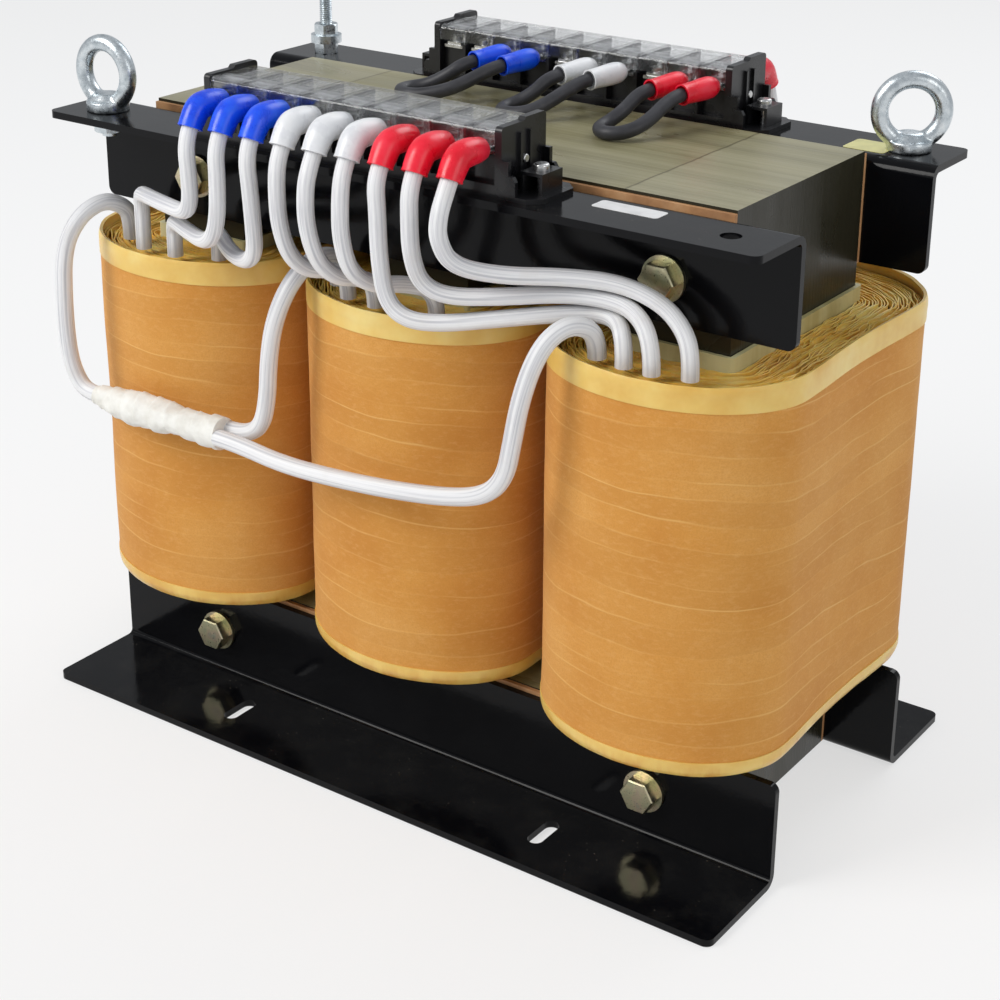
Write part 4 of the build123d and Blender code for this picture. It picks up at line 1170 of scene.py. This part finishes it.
# ---- Star point ----
# One lead from each coil, joined in front of the left coil in a splice that is bound with white
# cotton tape and thickest towards its left end.

cotton, shader = new_material("white_cotton_tape", "white_tape", (0.86, 0.85, 0.8), 0.75)
weave = grain(cotton, even, 900.0, 3.0)
folds = grain(cotton, even, 85.0, 4.0)
tone = ramp(
    cotton, folds, [(0.3, (0.74, 0.72, 0.66)), (0.55, (0.85, 0.84, 0.79)), (0.75, (0.9, 0.89, 0.85))],
)
link(cotton, tone, "Color", shader, "Base Color")
relief = roughen(cotton, shader, folds, "Fac", 0.6, 0.0018)
roughen(cotton, shader, weave, "Fac", 0.25, 0.0003, relief)

splice_low, splice_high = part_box("star_splice")
left_x, right_x = splice_low.x, splice_high.x
middle_y, middle_z = (splice_low.y + splice_high.y) / 2, (splice_low.z + splice_high.z) / 2
bpy.ops.object.select_all(action="DESELECT")
bpy.ops.mesh.primitive_cylinder_add(
    vertices=56, radius=0.01, depth=1, location=(0, 0, 0), end_fill_type="TRIFAN",
)
bound = bpy.context.object
bound.name = "taped_splice"
bpy.ops.object.mode_set(mode="EDIT")
bound_mesh = bmesh.from_edit_mesh(bound.data)
long_edges = [e for e in bound_mesh.edges if abs(e.verts[0].co.z - e.verts[1].co.z) > 0.5]
bmesh.ops.subdivide_edges(bound_mesh, edges=long_edges, cuts=150)
bmesh.update_edit_mesh(bound.data)
bpy.ops.object.mode_set(mode="OBJECT")
profile = [
    (0.0, 0.0066), (0.08, 0.0080), (0.2, 0.0107), (0.33, 0.0119), (0.5, 0.0112), (0.66, 0.0098),
    (0.82, 0.0100), (0.93, 0.0112), (1.0, 0.0112),
]


def between(table, t):
    """Value of a table of (place, value) at t."""
    for (a, va), (b, vb) in zip(table, table[1:]):
        if t <= b:
            s = (t - a) / (b - a)
            return va + (vb - va) * s * s * (3 - 2 * s)
    return table[-1][1]


tape_turns, tape_thickness, splice_sag = 9.0, 0.0009, 0.0012
for vertex in bound.data.vertices:
    t = vertex.co.z + 0.5
    around_x, around_y = vertex.co.x / 0.01, vertex.co.y / 0.01
    angle = atan2(around_y, around_x)
    size = hypot(around_x, around_y)
    turn = (t * tape_turns - angle / (2 * pi)) % 1.0
    tape_step = tape_thickness * (1 - turn) ** 1.5
    lump = noise.noise(Vector((around_x * 0.9, around_y * 0.9, t * 7))) * 0.0016
    lump += noise.noise(Vector((around_x * 2.4, around_y * 2.4, t * 20))) * 0.0006
    radius = (between(profile, t) + tape_step + lump * min(1.0, 6 * t, 6 * (1 - t) + 0.3)) * size
    vertex.co = (
        left_x + (right_x - left_x) * t,
        middle_y + radius * cos(angle),
        middle_z + radius * sin(angle) - splice_sag * sin(pi * t),
    )
bound.data.update()
bpy.ops.object.select_all(action="DESELECT")
bound.select_set(True)
bpy.context.view_layer.objects.active = bound
bpy.ops.object.mode_set(mode="EDIT")
bpy.ops.mesh.select_all(action="SELECT")
bpy.ops.mesh.normals_make_consistent(inside=False)
bpy.ops.object.mode_set(mode="OBJECT")
bpy.ops.object.shade_smooth_by_angle(angle=radians(60))
bound.data.materials.append(cotton)
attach(bound, "root")
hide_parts("star_splice")

star_routes = {
    "left": [(-232, -161, -109), (-243, -161, -109), (-252, -162, -99), (-256, -164, -80), (-257, -164, -45),
             (-256, -162, -4), (-250, -151, 18), (-243, -134, 27), (-238, -120, 21)],
    "middle": [(-112, -154.8, -108), (-98, -154.8, -108), (-84, -153, -100), (-76, -155, -77),
               (-72, -157, -47), (-65, -158, -18), (-58, -150, 6), (-54, -133, 19), (-52, -116, 19)],
    "right": [(-112, -167.2, -110), (-94, -167.2, -110), (-54, -166, -115.5), (-7, -164, -114.5),
              (40, -164, -110), (84, -164, -103), (111, -164, -94), (125, -164, -78), (130, -164, -53),
              (134, -162, -26), (140, -157, -1), (146, -148, 14), (154, -136, 20)],
}
star_entries = {"left": (-236, -115), "middle": (-52, -107), "right": (162.5, -122)}
for name, route in star_routes.items():
    points = [*above_coils(route), *entry(*star_entries[name])]
    lead = lay_cord("star_sleeve_" + name, points, 0.012, sleeve)
    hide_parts("star_lead_" + name)


# ---- Jumpers ----
# Three loops of black rubber cable that join neighbouring rear terminals. Each lies on the core
# between its two boots.

rubber, shader = new_material("black_rubber_cable", "black_cable", (0.03, 0.03, 0.036), 0.5)
talc = grain(rubber, even, 60.0, 4.0)
link(
    rubber,
    ramp(
        rubber, talc,
        [(0.3, (0.018, 0.018, 0.022)), (0.6, (0.036, 0.036, 0.043)), (0.8, (0.07, 0.07, 0.078))],
    ),
    "Color", shader, "Base Color",
)
roughen(rubber, shader, talc, "Fac", 0.15, 0.0006)
core_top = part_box("core_stack")[1].z
cable_rest = 0.00505
jumper_loops = {
    "left": [(-17, -46, 10), (-31, -50, 2), (-42, -57, 0), (-43, -69, 0), (-32, -77, 0), (-16, -74, 1),
             (3, -62, 7)],
    "middle": [
        (-14, -50, 8.5), (-24, -58, 1.5), (-27, -69, 0), (-20, -79, 0), (-7, -79, 0.5), (5, -70, 4.5),
    ],
    "right": [(-12, -53, 8), (-18, -65, 1), (-17, -78, 0), (-6, -86, 0), (6, -81, 1), (14, -67, 6)],
}
for name, (first, second) in (("left", (3, 4)), ("middle", (6, 7)), ("right", (9, 10))):
    start, end = jumper_ends[first], jumper_ends[second]
    rest = Vector((rear_x[first - 1], jumper_start_y, core_top + cable_rest))
    loop = [rest + Vector(p) / 1000 for p in jumper_loops[name]]
    points = [start, start + lean * 0.010, *loop, end + lean * 0.010, end]
    jumper = lay_cord("rubber_jumper_" + name, points, 0.0095, rubber)
    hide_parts("jumper_" + name)


# ---- Labels ----
# Two blank stickers of printed film on the upper flanges, with rounded corners. They are stuck on
# last, one at the front and one beside the rear lifting eye.

def sticker(name, middle, size, turn, mat):
    """Thin rounded plate lying on a level face."""
    bpy.ops.object.select_all(action="DESELECT")
    bpy.ops.mesh.primitive_plane_add(size=1, location=(0, 0, 0))
    plate = bpy.context.object
    plate.name = name
    plate.scale = (size[0], size[1], 1)
    bpy.ops.object.transform_apply(scale=True)
    bpy.ops.object.mode_set(mode="EDIT")
    bpy.ops.mesh.select_all(action="SELECT")
    bpy.ops.mesh.bevel(offset=0.0025, segments=5, affect="VERTICES")
    bpy.ops.object.mode_set(mode="OBJECT")
    give_wall(plate, 0.00025, 1)
    plate.data.transform(Matrix.Translation(middle) @ Matrix.Rotation(turn, 4, "Z"))
    plate.data.materials.append(mat)
    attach(plate, "root")


def film_finish(name, colour):
    """Printed film with a faint wear."""
    mat, shader = new_material(name, "white_card", colour, 0.3)
    wear = grain(mat, even, 90.0, 3.0)
    worn = tuple(c * 0.86 for c in colour)
    link(mat, ramp(mat, wear, [(0.35, worn), (0.6, colour)]), "Color", shader, "Base Color")
    return mat


flange_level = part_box("top_clamp_front")[1].z + 0.00002
sticker(
    "label_front", (0.174, -0.1085, flange_level), (0.046, 0.015), 0,
    film_finish("white_film", (0.8, 0.8, 0.8)),
)
sticker(
    "label_rear", (0.224, 0.112, flange_level), (0.03, 0.026), 0,
    film_finish("yellow_film", (0.72, 0.68, 0.28)),
)
